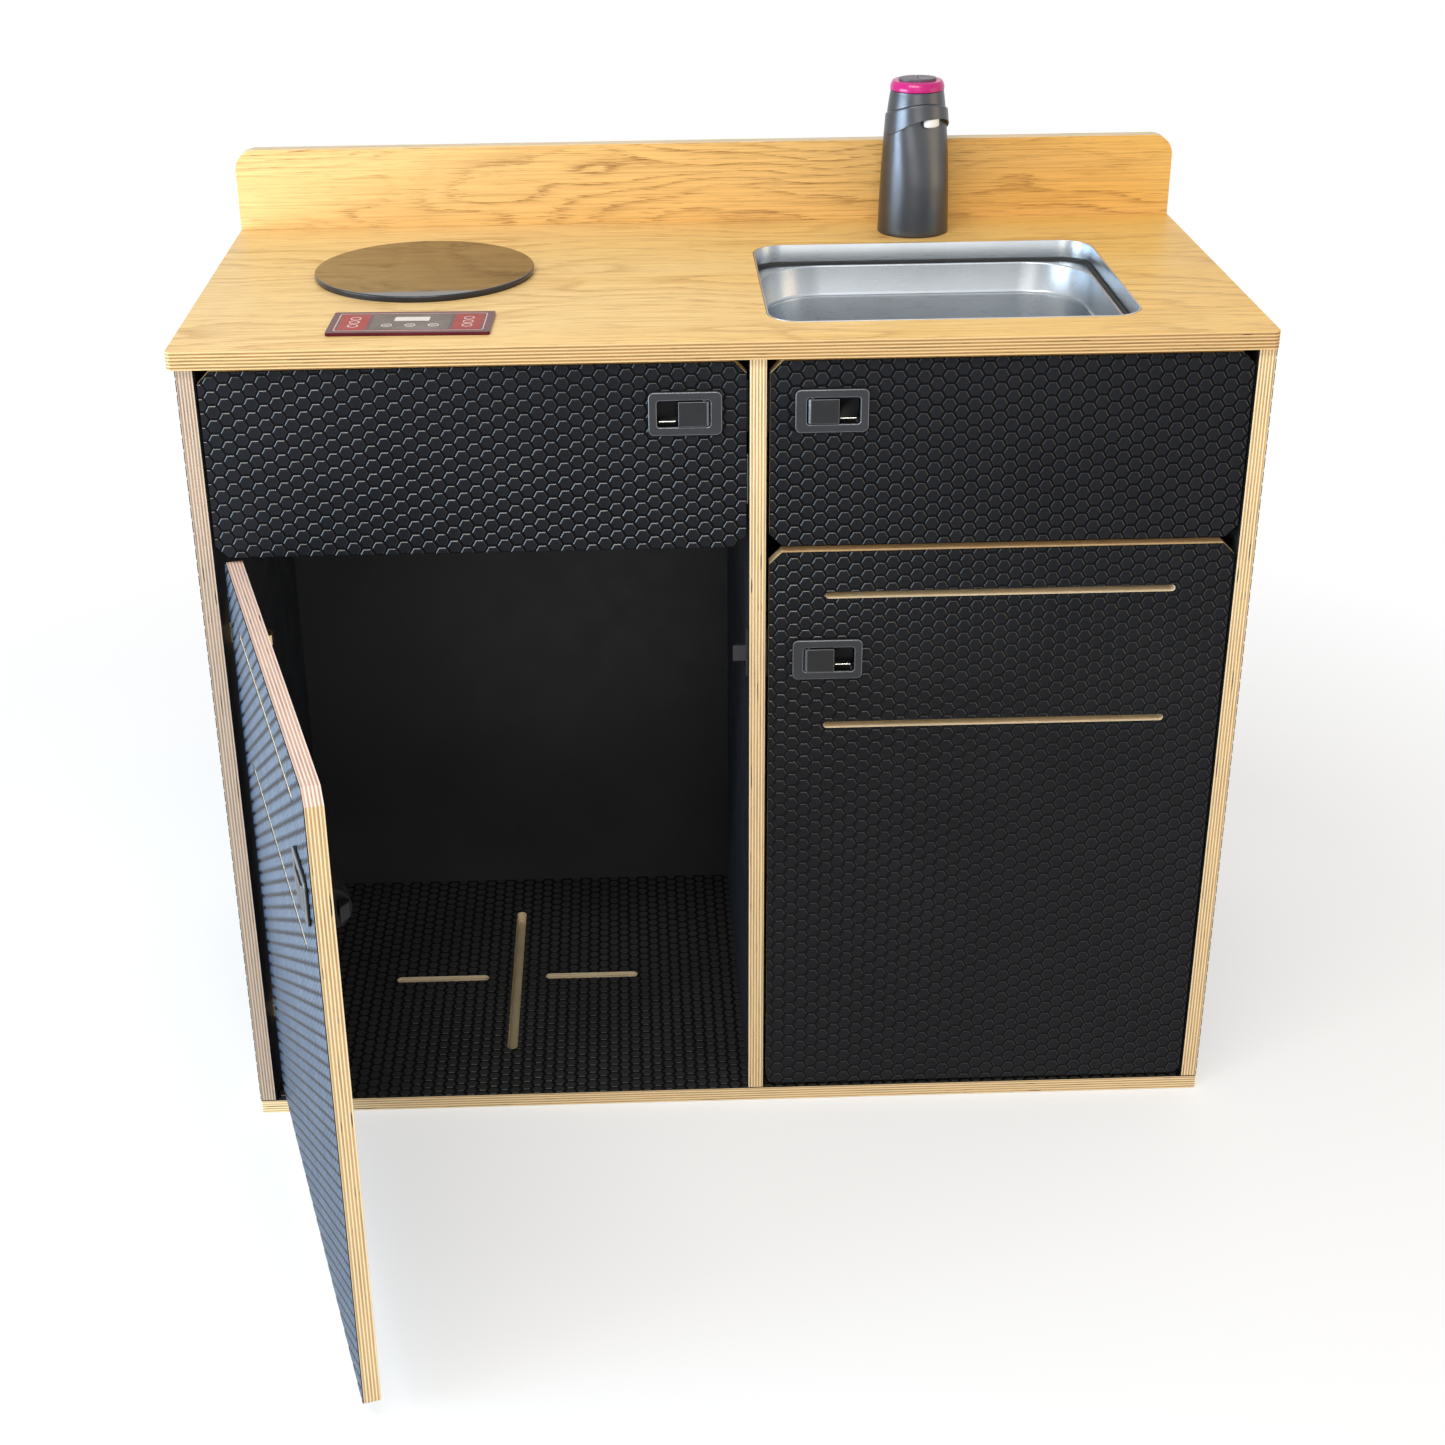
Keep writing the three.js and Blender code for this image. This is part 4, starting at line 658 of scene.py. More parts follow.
def hole_boxes(node, matrix):
    """The boxes of the holes through a board's outer face, in the board's own plane."""
    mesh = bmesh.new()
    mesh.from_mesh(frame["nodes"][node].data)
    bmesh.ops.remove_doubles(mesh, verts=mesh.verts, dist=0.01 * MM)
    mesh.transform(matrix.inverted())
    face = {f for f in mesh.faces if abs(f.calc_center_median().z) < 0.05 * MM and len(f.verts) == 3}
    rim = [e for e in mesh.edges if sum(f in face for f in e.link_faces) == 1]
    group = {}
    for edge in rim:
        merged = {edge}
        for v in edge.verts:
            merged |= group.get(v, set())
        for member in merged:
            for v in member.verts:
                group[v] = merged
    boxes = []
    for members in {id(g): g for g in group.values()}.values():
        us = [v.co.x for e in members for v in e.verts]
        vs = [v.co.y for e in members for v in e.verts]
        boxes.append((min(us), max(us), min(vs), max(vs)))
    mesh.free()
    boxes.sort(key=lambda b: (b[1] - b[0]) * (b[3] - b[2]))
    return boxes[:-1]


def hole_loop(box):
    """A slot's loop with round ends, or the loop of a latch's opening."""
    u0, u1, v0, v1 = box
    short, long = sorted((u1 - u0, v1 - v0))
    return rounded(*box, short / 2 - 1e-6 if long > 3 * short else THROAT_CORNER, 6)


def middle_of(node, axis):
    low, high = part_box(node)
    return (low[axis] + high[axis]) / 2


def centre_of(node, z=0.0):
    return Vector((middle_of(node, 0), middle_of(node, 1), z))


AXIS_X, AXIS_Y, AXIS_Z = Vector((1, 0, 0)), Vector((0, 1, 0)), Vector((0, 0, 1))
base_low, base_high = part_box("base_panel")
FRONT_Y = base_low.y
drawer_low, drawer_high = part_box("drawer_front")
right_low, right_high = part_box("right_door")
sink_low, sink_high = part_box("sink_door")
hinge = next(j for j in frame["joints"] if j["name"] == "left_door_hinge")
hinge_place = Vector(hinge["pos_m"])
open_turn = Matrix.Rotation(math.radians(hinge["range_deg"][0]), 4, "Z")
swing_open = Matrix.Translation(hinge_place) @ open_turn @ Matrix.Translation(-hinge_place)

front_frame = board_frame(AXIS_X, AXIS_Z, AXIS_Y, Vector((0, FRONT_Y, 0)))
FRONTS = {
    "drawer": ("drawer_front", front_frame, drawer_low.x, drawer_high.x, drawer_low.z, drawer_high.z, 1),
    "sink_door": ("sink_door", front_frame, sink_low.x, sink_high.x, sink_low.z, sink_high.z, -1),
    "right_door": ("right_door", front_frame, right_low.x, right_high.x, right_low.z, right_high.z, -1),
    "left_door": (
        "left_door", swing_open @ front_frame, drawer_low.x, drawer_high.x, right_low.z, right_high.z, 1
    ),
}


def build_fronts():
    for body, (node, matrix, u0, u1, v0, v1, hand) in FRONTS.items():
        lower = (LOWER_CORNER, 6) if body in ("left_door", "right_door") else (CHAMFER, 1)
        outer = corner_outline(u0, u1, v0, v1, lower, (CHAMFER, 1))
        holes = [(hole_loop(box), box) for box in hole_boxes(node, matrix)]
        pockets = []
        if body != "drawer":
            hinge_u = u0 + HINGE_INSET if hand > 0 else u1 - HINGE_INSET
            for label in ("lower", "upper"):
                height = middle_of(f"{body}_{label}_hinge_arm", 2)
                pockets.append((circle(hinge_u, height, CUP_BORE_RADIUS, 40), CUP_BORE_DEPTH))
        board(node, body, matrix, outer, (film, smooth_film), gold_edge, holes, pockets,
              hexes=True, top_band=rose_edge if body == "left_door" else gold_edge)


def build_carcass():
    matrix = board_frame(AXIS_X, AXIS_Y, -AXIS_Z, Vector((0, 0, base_high.z)))
    holes = [(hole_loop(box), box) for box in hole_boxes("base_panel", matrix)]
    outer = rounded(base_low.x, base_high.x, base_low.y, base_high.y, BASE_CORNER, 3)
    board("base_panel", "carcass", matrix, outer, (floor_film, smooth_film), gold_edge, holes,
          hexes=True)
    # The left side panel's edge takes the darker copy, painted shade.
    for node, side, edge in (
        ("left_side_panel", -1, shaded_edge), ("right_side_panel", 1, gold_edge),
        ("divider_panel", 1, gold_edge),
    ):
        low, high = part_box(node)
        matrix = board_frame(AXIS_Y, AXIS_Z, -side * AXIS_X, Vector((low.x if side < 0 else high.x, 0, 0)))
        outer = rounded(low.y, high.y, low.z, high.z, 0, 1)
        board(node, "carcass", matrix, outer, (film, smooth_film), edge, hexes=True)
    low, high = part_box("back_panel")
    matrix = board_frame(AXIS_X, AXIS_Z, -AXIS_Y, Vector((0, high.y, 0)))
    outer = rounded(low.x, high.x, low.z, high.z, 0, 1)
    board("back_panel", "carcass", matrix, outer, (smooth_film, smooth_film), gold_edge)


def turned(points, centre, angle):
    cosine, sine = math.cos(angle), math.sin(angle)
    return [(centre[0] + u * cosine - v * sine, centre[1] + u * sine + v * cosine) for u, v in points]


CONTROL_SKEW = math.radians(-2)
CONTROL_BOX = (118.6 * MM, 46.6 * MM)


def build_worktop():
    low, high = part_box("worktop")
    hob, control, tap = centre_of("hob_body"), centre_of("control_panel_box"), centre_of("tap_cap")
    collar_low, collar_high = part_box("sink_collar")
    gap = SEAT_GAP
    holes = (
        rounded(collar_low.x - gap, collar_high.x + gap, collar_low.y - gap, collar_high.y + gap,
                SINK_HOLE_CORNER, 12),
        turned(block(0, 0, CONTROL_BOX[0] / 2, CONTROL_BOX[1] / 2, THROAT_CORNER), control, CONTROL_SKEW),
        circle(hob.x, hob.y, HOB_HOLE_RADIUS, 96),
        circle(tap.x, tap.y, TAP_HOLE_RADIUS, 40),
    )
    matrix = board_frame(AXIS_X, AXIS_Y, -AXIS_Z, Vector((0, 0, high.z)))
    outer = corner_outline(low.x, high.x, low.y, high.y, (WORKTOP_CORNER, 8), (0, 1))
    board("worktop", "carcass", matrix, outer, (oak, oak), top_edge,
          [(loop, None) for loop in holes], depth=high.z - low.z)
    low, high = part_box("upstand")
    matrix = board_frame(AXIS_X, AXIS_Z, AXIS_Y, Vector((0, low.y, 0)))
    outer = corner_outline(low.x, high.x, low.z, high.z, (0, 1), (UPSTAND_CORNER, 12))
    board("upstand", "carcass", matrix, outer, (oak_upright, oak_upright), pale_edge)


# Copies of construction pieces with worked edges

def node_mesh(node, matrix=None):
    """A node's solid, or what it is in the frame of a matrix."""
    mesh = bmesh.new()
    mesh.from_mesh(frame["nodes"][node].data)
    bmesh.ops.remove_doubles(mesh, verts=mesh.verts, dist=0.005 * MM)
    bmesh.ops.dissolve_limit(mesh, angle_limit=math.radians(1), verts=mesh.verts, edges=mesh.edges)
    if matrix:
        mesh.transform(matrix.inverted())
        if matrix.determinant() < 0:
            bmesh.ops.reverse_faces(mesh, faces=mesh.faces)
    return mesh


def mesh_data(name, mesh, materials, degrees=PIECE_SHARP):
    data = bpy.data.meshes.new(name)
    mesh.to_mesh(data)
    mesh.free()
    for material in materials:
        data.materials.append(material)
    return soft_shaded(data, degrees)


def finished(name, mesh, materials, matrix, body, nodes=(), degrees=PIECE_SHARP):
    data = placed(mesh_data(name, mesh, materials, degrees), matrix)
    return even_shaded(show(name, data, body, nodes))


# A screw's measures, in shares of its radius
SCREW_PROFILE = ((0.0, 0.30), (0.45, 0.30), (0.80, 0.18), (1.0, 0.0), (1.0, -0.25), (0.0, -0.25))
CROSS_HALF, CROSS_SLIM, CROSS_DEEP, CROSS_RISE = 0.55, 0.13, 0.12, 0.27


def lathe_lists(profile, sides):
    """A turned solid about Z from a profile of (radius, height) that starts and ends on the axis."""
    verts, faces, rows = [], [], []
    for radius, height in profile:
        if radius < 1e-9:
            rows.append([len(verts)])
            verts.append((0.0, 0.0, height))
            continue
        rows.append(list(range(len(verts), len(verts) + sides)))
        verts += [
            (radius * math.cos(math.tau * i / sides), radius * math.sin(math.tau * i / sides), height)
            for i in range(sides)
        ]
    for low, high in zip(rows, rows[1:]):
        for i in range(sides):
            a, b = low[i % len(low)], low[(i + 1) % len(low)]
            c, d = high[(i + 1) % len(high)], high[i % len(high)]
            face = tuple(dict.fromkeys((a, b, c, d)))
            if len(face) > 2:
                faces.append(face)
    return verts, faces


def add_lists(mesh, verts, faces):
    """The new faces, turned outwards."""
    made = [mesh.verts.new(v) for v in verts]
    fresh = [mesh.faces.new([made[i] for i in face]) for face in faces]
    bmesh.ops.recalc_face_normals(mesh, faces=fresh)
    return fresh


def mesh_from(verts, faces):
    mesh = bmesh.new()
    add_lists(mesh, verts, faces)
    return mesh


def add_screw(mesh, place, outward, radius):
    """A domed screw head with a crossed recess, its seat at place."""
    profile = [(share * radius, rise * radius) for share, rise in SCREW_PROFILE]
    verts, faces = lathe_lists(profile, FINE_SIDES)
    matrix = Matrix.Translation(place) @ outward.to_track_quat("Z", "Y").to_matrix().to_4x4()
    before = set(mesh.faces)
    head = set(add_lists(mesh, [matrix @ Vector(v) for v in verts], faces))
    for half_u, half_v in ((CROSS_HALF, CROSS_SLIM), (CROSS_SLIM, CROSS_HALF)):
        bar = bmesh.ops.create_cube(mesh, size=1.0)["verts"]
        scale = Matrix.Diagonal((2 * half_u * radius, 2 * half_v * radius, CROSS_DEEP * radius, 1))
        lift = Matrix.Translation((0, 0, CROSS_RISE * radius))
        bmesh.ops.transform(mesh, matrix=matrix @ lift @ scale, verts=bar)
    for face in mesh.faces:
        if face not in before:
            face.material_index = 1 if face in head else 2


def worked(node, body, width, materials, screws=(), degrees=30):
    """A piece in place of a node: the same solid with its edges rounded, and its screws."""
    mesh = node_mesh(node)
    bevelled(mesh, width, degrees)
    for place, outward, radius in screws:
        add_screw(mesh, place, outward, radius)
    return finished(node + "_worked", mesh, materials, Matrix(), body, (node,), BOARD_SHARP)


HINGE_PLATE = 2.5 * MM
PLATE_SCREW_BACK, PLATE_SCREW_SPREAD = 21 * MM, 20.2 * MM
HINGE_PIN_INSET = 14.5 * MM
CUP_WING = 1.2 * MM
CUP_SCREW_OUT, CUP_SCREW_SPREAD = 10 * MM, 21.3 * MM
SCREW_RADIUS = 3.4 * MM


def build_hinges():
    materials = (nickel, bright_steel, black_moulding)
    face_y = FRONT_Y + BOARD + SEAT_GAP + CUP_WING
    for body, side in (("left_door", 1), ("right_door", -1), ("sink_door", -1)):
        turn = swing_open if body == "left_door" else Matrix.Identity(4)
        for label in ("lower", "upper"):
            arm = f"{body}_{label}_hinge_arm"
            low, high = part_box(arm)
            wall = low.x if side > 0 else high.x
            cup_x = wall + side * HINGE_PIN_INSET + side * CUP_SCREW_OUT
            arm_screws, cup_screws = [], []
            for sign in (-1, 1):
                plate_z = middle_of(arm, 2) + sign * PLATE_SCREW_SPREAD
                place = Vector((wall + side * HINGE_PLATE, high.y - PLATE_SCREW_BACK, plate_z))
                arm_screws.append((place, AXIS_X * side, SCREW_RADIUS))
                place = turn @ Vector((cup_x, face_y, middle_of(arm, 2) + sign * CUP_SCREW_SPREAD))
                cup_screws.append((place, turn.to_3x3() @ AXIS_Y, SCREW_RADIUS))
            worked(arm, "carcass", 0.25 * MM, materials, arm_screws)
            worked(f"{body}_{label}_hinge_cup", body, 0.2 * MM, materials, cup_screws)


STRIKER_PLATE = 2.5 * MM
STRIKER_SCREW_BACK, STRIKER_SCREW_SPREAD, STRIKER_SCREW_RADIUS = 6.5 * MM, 13 * MM, 2.9 * MM


def build_strikers():
    materials = (latch_plastic, bright_steel, black_moulding)
    for body in FRONTS:
        node = f"{body}_striker"
        low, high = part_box(node)
        side = -1 if body in ("drawer", "left_door") else 1
        face_x = (high.x if side < 0 else low.x) + side * STRIKER_PLATE
        places = [
            Vector((face_x, low.y + STRIKER_SCREW_BACK, middle_of(node, 2) + sign * STRIKER_SCREW_SPREAD))
            for sign in (-1, 1)
        ]
        screws = [(place, AXIS_X * side, STRIKER_SCREW_RADIUS) for place in places]
        worked(node, "carcass", 0.4 * MM, materials, screws)


# Slam latches: the bezel and catch bar are drawn finely, the rest follows the construction

# Half width, half height and corner
BEZEL = (31.25 * MM, 19 * MM, 5 * MM)
WINDOW = (22.75 * MM, 11.7 * MM, 2.4 * MM)
PADDLE_SHARE = 0.915
CASE_CUT = -0.8 * MM
WINDOW_SHIFT = -1.3 * MM
BEZEL_PROUD = 3 * MM
BEZEL_ARRIS = 0.8 * MM
CATCH_BAR_PROFILE = ((0, -7.2), (0.7, -7.2), (1.0, -6.9), (1.0, 6.9), (0.7, 7.2), (0, 7.2))
CATCH_BAR_PLACE = (-15.2 * MM, 11.8 * MM, -11.3 * MM)


def latch_frame(body):
    _, matrix, u0, u1, v0, v1, hand = FRONTS[body]
    u = u1 - LATCH_INSET if hand > 0 else u0 + LATCH_INSET
    here = matrix @ Vector((u, v1 - LATCH_DROP[body], 0))
    turn = (matrix.to_3x3() @ Matrix(((hand, 0, 0), (0, 0, 1), (0, 1, 0)))).to_4x4()
    return Matrix.Translation(here) @ turn


def latch_case(body, matrix):
    """The case without its flange, cut off just behind the board's face, with a fine flange before it."""
    mesh = node_mesh(f"{body}_latch_case", matrix)
    found = bmesh.ops.bisect_plane(
        mesh, geom=[*mesh.verts, *mesh.edges, *mesh.faces], plane_co=(0, CASE_CUT, 0), plane_no=(0, -1, 0),
        clear_outer=True,
    )
    rim = [e for e in found["geom_cut"] if isinstance(e, bmesh.types.BMEdge)]
    bmesh.ops.triangle_fill(mesh, edges=rim, use_beauty=True)
    bmesh.ops.recalc_face_normals(mesh, faces=mesh.faces)
    window = block(WINDOW_SHIFT, 0, *WINDOW, 6)
    flange = plate(block(0, 0, *BEZEL, 10), [window], -BEZEL_PROUD, -SEAT_GAP, arris=BEZEL_ARRIS)
    verts, faces = mesh_lists(flange)
    flange_faces = set(add_lists(mesh, [(u, w, v) for u, v, w in verts], faces))
    for face in mesh.faces:
        # Slanted faces of the bezel take the pale edge plastic, a painted glint.
        slanted = max(abs(c) for c in face.normal) < 0.95 and face.calc_center_median().y < -2 * MM
        face.material_index = 1 if face not in flange_faces else 2 if slanted else 0
    node = f"{body}_latch_case"
    materials = (latch_plastic, case_plastic, painted_edge_glint)
    finished(node + "_worked", mesh, materials, matrix, body, (node,))


def catch_bar(body, matrix):
    profile = [(radius * MM, along * MM) for radius, along in CATCH_BAR_PROFILE]
    mesh = mesh_from(*lathe_lists(profile, FINE_SIDES))
    data = mesh_data(f"{body}_catch_bar", mesh, (bright_steel,))
    data.transform(Matrix.Translation(CATCH_BAR_PLACE) @ Matrix.Rotation(math.pi / 2, 4, "Y"))
    show(f"{body}_catch_bar", placed(data, matrix), body)


def build_latches():
    for body in FRONTS:
        matrix = latch_frame(body)
        latch_case(body, matrix)
        catch_bar(body, matrix)
        lowered = Matrix.Diagonal((1, 1, PADDLE_SHARE, 1))
        materials = (paddle_plastic, painted_edge_glint)
        paddle = worked(f"{body}_latch_paddle", f"{body}_paddle", 0.4 * MM, materials)
        middle = matrix.translation
        paddle.data.transform(Matrix.Translation(middle) @ lowered @ Matrix.Translation(-middle))
        outward = matrix.to_3x3() @ -AXIS_Y
        for polygon in paddle.data.polygons:
            # The paddle's bevels take the pale edge plastic, a painted glint.
            polygon.material_index = int(0.3 < polygon.normal.dot(outward) < 0.95)
        worked(f"{body}_latch_bolt", f"{body}_bolt", 0.4 * MM, (case_plastic,))


# Drawer box and runners

# Each board with the axis that it is thin along
DRAWER_BOARDS = {"drawer_side_left": 0, "drawer_side_right": 0, "drawer_bottom": 2, "drawer_back": 1}


def build_drawer():
    for node, thin in DRAWER_BOARDS.items():
        axes = [AXIS_X, AXIS_Y, AXIS_Z]
        ew = axes.pop(thin)
        low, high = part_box(node)
        matrix = board_frame(axes[0], axes[1], ew, Vector([low[i] if i == thin else 0 for i in range(3)]))
        mesh = node_mesh(node, matrix)
        bevelled(mesh, 0.3 * MM)
        data = bpy.data.meshes.new(node + "_board")
        mesh.to_mesh(data)
        mesh.free()
        lay_out(data)
        data.materials.append(birch)
        data.materials.append(gold_edge)
        for polygon in data.polygons:
            polygon.material_index = int(abs(polygon.normal.z) <= FLAT)
        soft_shaded(placed(data, matrix), BOARD_SHARP)
        even_shaded(show(node + "_board", data, "drawer", (node,)))
    for side in ("left", "right"):
        worked(f"drawer_slide_{side}", "drawer", 0.25 * MM, (zinc,))
        worked(f"drawer_runner_{side}", "carcass", 0.25 * MM, (zinc,))


# Hob and control panel

def quarter(radius, height, size, first):
    """Points of a rounded corner of a turned profile, around its centre, from a first angle."""
    angles = [math.radians(first + 90 * i / QUARTER_STEPS) for i in range(QUARTER_STEPS + 1)]
    return [(radius + size * math.cos(a), height + size * math.sin(a)) for a in angles]


def turned_piece(name, profile, sides, node, materials):
    mesh = mesh_from(*lathe_lists(profile, sides))
    matrix = Matrix.Translation(centre_of("hob_glass"))
    return finished(name, mesh, materials, matrix, "carcass", (node,))


DISC_ROUND_TOP, DISC_ROUND_LOW = 1.3 * MM, 0.8 * MM
DISC_SIDES, CASE_SIDES, QUARTER_STEPS = 160, 128, 5
HOB_WALL, HOB_BEND, HOB_RIM = 88 * MM, 8 * MM, 2 * MM


def build_hob():
    low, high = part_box("hob_glass")
    radius = (high.x - low.x) / 2
    profile = [
        (0, low.z),
        *quarter(radius - DISC_ROUND_LOW, low.z + DISC_ROUND_LOW, DISC_ROUND_LOW, -90),
        *quarter(radius - DISC_ROUND_TOP, high.z - DISC_ROUND_TOP, DISC_ROUND_TOP, 0),
        (0, high.z),
    ]
    disc = turned_piece("hob_glass_disc", profile, DISC_SIDES, "hob_glass", (hob_glass, hob_edge))
    for polygon in disc.data.polygons:
        polygon.material_index = int(polygon.normal.z < 0.9)
    low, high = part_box("hob_body")
    rim, seat, top = (high.x - low.x) / 2, high.z - HOB_RIM, high.z - SEAT_GAP
    bend = quarter(HOB_WALL - HOB_BEND, low.z + HOB_BEND, HOB_BEND, -90)
    profile = [(0, low.z), *bend, (HOB_WALL, seat), (rim, seat), (rim, top), (0, top)]
    turned_piece("hob_case", profile, CASE_SIDES, "hob_body", (enamel,))


PANEL_SIZE = (139.5 * MM, 64.5 * MM)
PANEL_THICKNESS = 3 * MM
MARK_RISE = 0.05 * MM
FRAME_INSET, FRAME_LINE = 6 * MM, 0.9 * MM
FIELD_HALF, FIELD_GAP = 12 * MM, 3 * MM
# Place in the panel's depth, half width, half height and corner
DISPLAY = (9 * MM, 15 * MM, 6 * MM, 1.2 * MM)
LOW_BUTTON_BAR = (2.2 * MM, 0.6 * MM, 0.3 * MM)
BUTTON_RING, BUTTON_LINE, BUTTON_PITCH = 4.6 * MM, 0.9 * MM, 11 * MM
LOW_BUTTON_PITCH, LOW_BUTTON_ROW = 20 * MM, -10 * MM


def panel_piece(name, loops, w0, w1, material, nodes=(), arris=0.0):
    """Plates on the control panel's plane, each (outer loop, holes), turned with the panel."""
    whole = bmesh.new()
    for outer, holes in loops:
        add_lists(whole, *mesh_lists(plate(outer, holes, w0, w1, arris=arris)))
    centre = centre_of("control_panel_glass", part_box("control_panel_glass")[0].z)
    matrix = Matrix.Translation(centre) @ Matrix.Rotation(CONTROL_SKEW, 4, "Z")
    finished(name, whole, (material,), matrix, "carcass", nodes)


def build_control_panel():
    half_u, half_v = PANEL_SIZE[0] / 2, PANEL_SIZE[1] / 2
    panel_piece("control_panel_plate", [(block(0, 0, half_u, half_v, 2.5 * MM), [])], 0.0, PANEL_THICKNESS,
                control_glass, ("control_panel_glass",), arris=0.45 * MM)

    def mark(name, layer, material, loops):
        base = PANEL_THICKNESS + layer * MARK_RISE
        panel_piece(name, loops, base, base + MARK_RISE, material)

    def button(u, v):
        return circle(u, v, BUTTON_RING, 32), [circle(u, v, BUTTON_RING - BUTTON_LINE, 32)]

    frame_u, frame_v = half_u - FRAME_INSET, half_v - FRAME_INSET
    inner = block(0, 0, frame_u - FRAME_LINE, frame_v - FRAME_LINE, 2.4 * MM)
    mark("control_frame_line", 0, mark_pink, [(block(0, 0, frame_u, frame_v, 3 * MM), [inner])])
    field_v = frame_v - FIELD_GAP
    columns = [sign * (frame_u - FIELD_GAP - FIELD_HALF) for sign in (-1, 1)]
    mark("control_red_fields", 0, mark_red, [(block(u, 0, FIELD_HALF, field_v, 2 * MM), []) for u in columns])
    grey_u = frame_u - 2 * FIELD_HALF - 2 * FIELD_GAP
    mark("control_grey_field", 0, mark_grey, [(block(0, 0, grey_u, field_v, 2 * MM), [])])
    mark("control_display", 1, mark_pale, [(block(0, *DISPLAY), [])])
    buttons = [button(u, v) for u in columns for v in (-BUTTON_PITCH, 0.0, BUTTON_PITCH)]
    for u in (-LOW_BUTTON_PITCH, 0.0, LOW_BUTTON_PITCH):
        buttons += [button(u, LOW_BUTTON_ROW), (block(u, LOW_BUTTON_ROW, *LOW_BUTTON_BAR), [])]
    mark("control_buttons", 1, mark_pale, buttons)
    worked("control_panel_box", "carcass", 0.6 * MM, (enamel,))


# Sink

def ring(width, depth, corner, z):
    return [(u, v, z) for u, v in block(0, 0, width / 2, depth / 2, corner, 12)]


def inset_rings(width, depth, corner):
    """Gives the ring at an inset from a rounded rectangle, at a height."""
    return lambda inset, z: ring(width - 2 * inset, depth - 2 * inset, corner - inset, z)


def bead(ring_at, wall, lip, top):
    """The rings over the rounded top of a wall, from its outside to its inside."""
    low = top - 0.3 * lip
    return [
        ring_at(0, top - lip), ring_at(0.3 * lip, low), ring_at(lip, top),
        ring_at(wall - lip, top), ring_at(wall - 0.3 * lip, low), ring_at(wall, top - lip),
    ]


def loft_piece(name, rings, material, node):
    """A closed skin through rings of alike count that lead back to the first one."""
    count = len(rings[0])
    faces = []
    for row, side in itertools.product(range(len(rings)), range(count)):
        here, following, other = row * count, (row + 1) % len(rings) * count, (side + 1) % count
        faces.append((here + side, here + other, following + other, following + side))
    mesh = mesh_from([point for loop in rings for point in loop], faces)
    bmesh.ops.remove_doubles(mesh, verts=mesh.verts, dist=0.001 * MM)
    data = mesh_data(name, mesh, (material,), 40)
    data.transform(Matrix.Translation(centre_of("sink_collar")))
    return show(name, data, "carcass", (node,))


COLLAR_WALL = 1.2 * MM
COLLAR_CORNER = 29 * MM
COLLAR_LEDGE = 3 * MM
COLLAR_LIP = 0.45 * MM
SEAL_WIDTH, SEAL_LIP = 3 * MM, 0.8 * MM
BOWL_RIM = 5 * MM
BOWL_CORNER = 60 * MM
BOWL_STEEL = 1 * MM
BOWL_DEPTH = 148 * MM
BOWL_SHOULDER = 26 * MM
BOWL_STEP = 3 * MM
BOWL_TAPER = 7 * MM
BOWL_FILLET = 14 * MM
BOWL_FALL = 3 * MM
DRAIN = 22.5 * MM
STRAINER_SEAT = 31 * MM
RIM_ROLL = 1.6 * MM


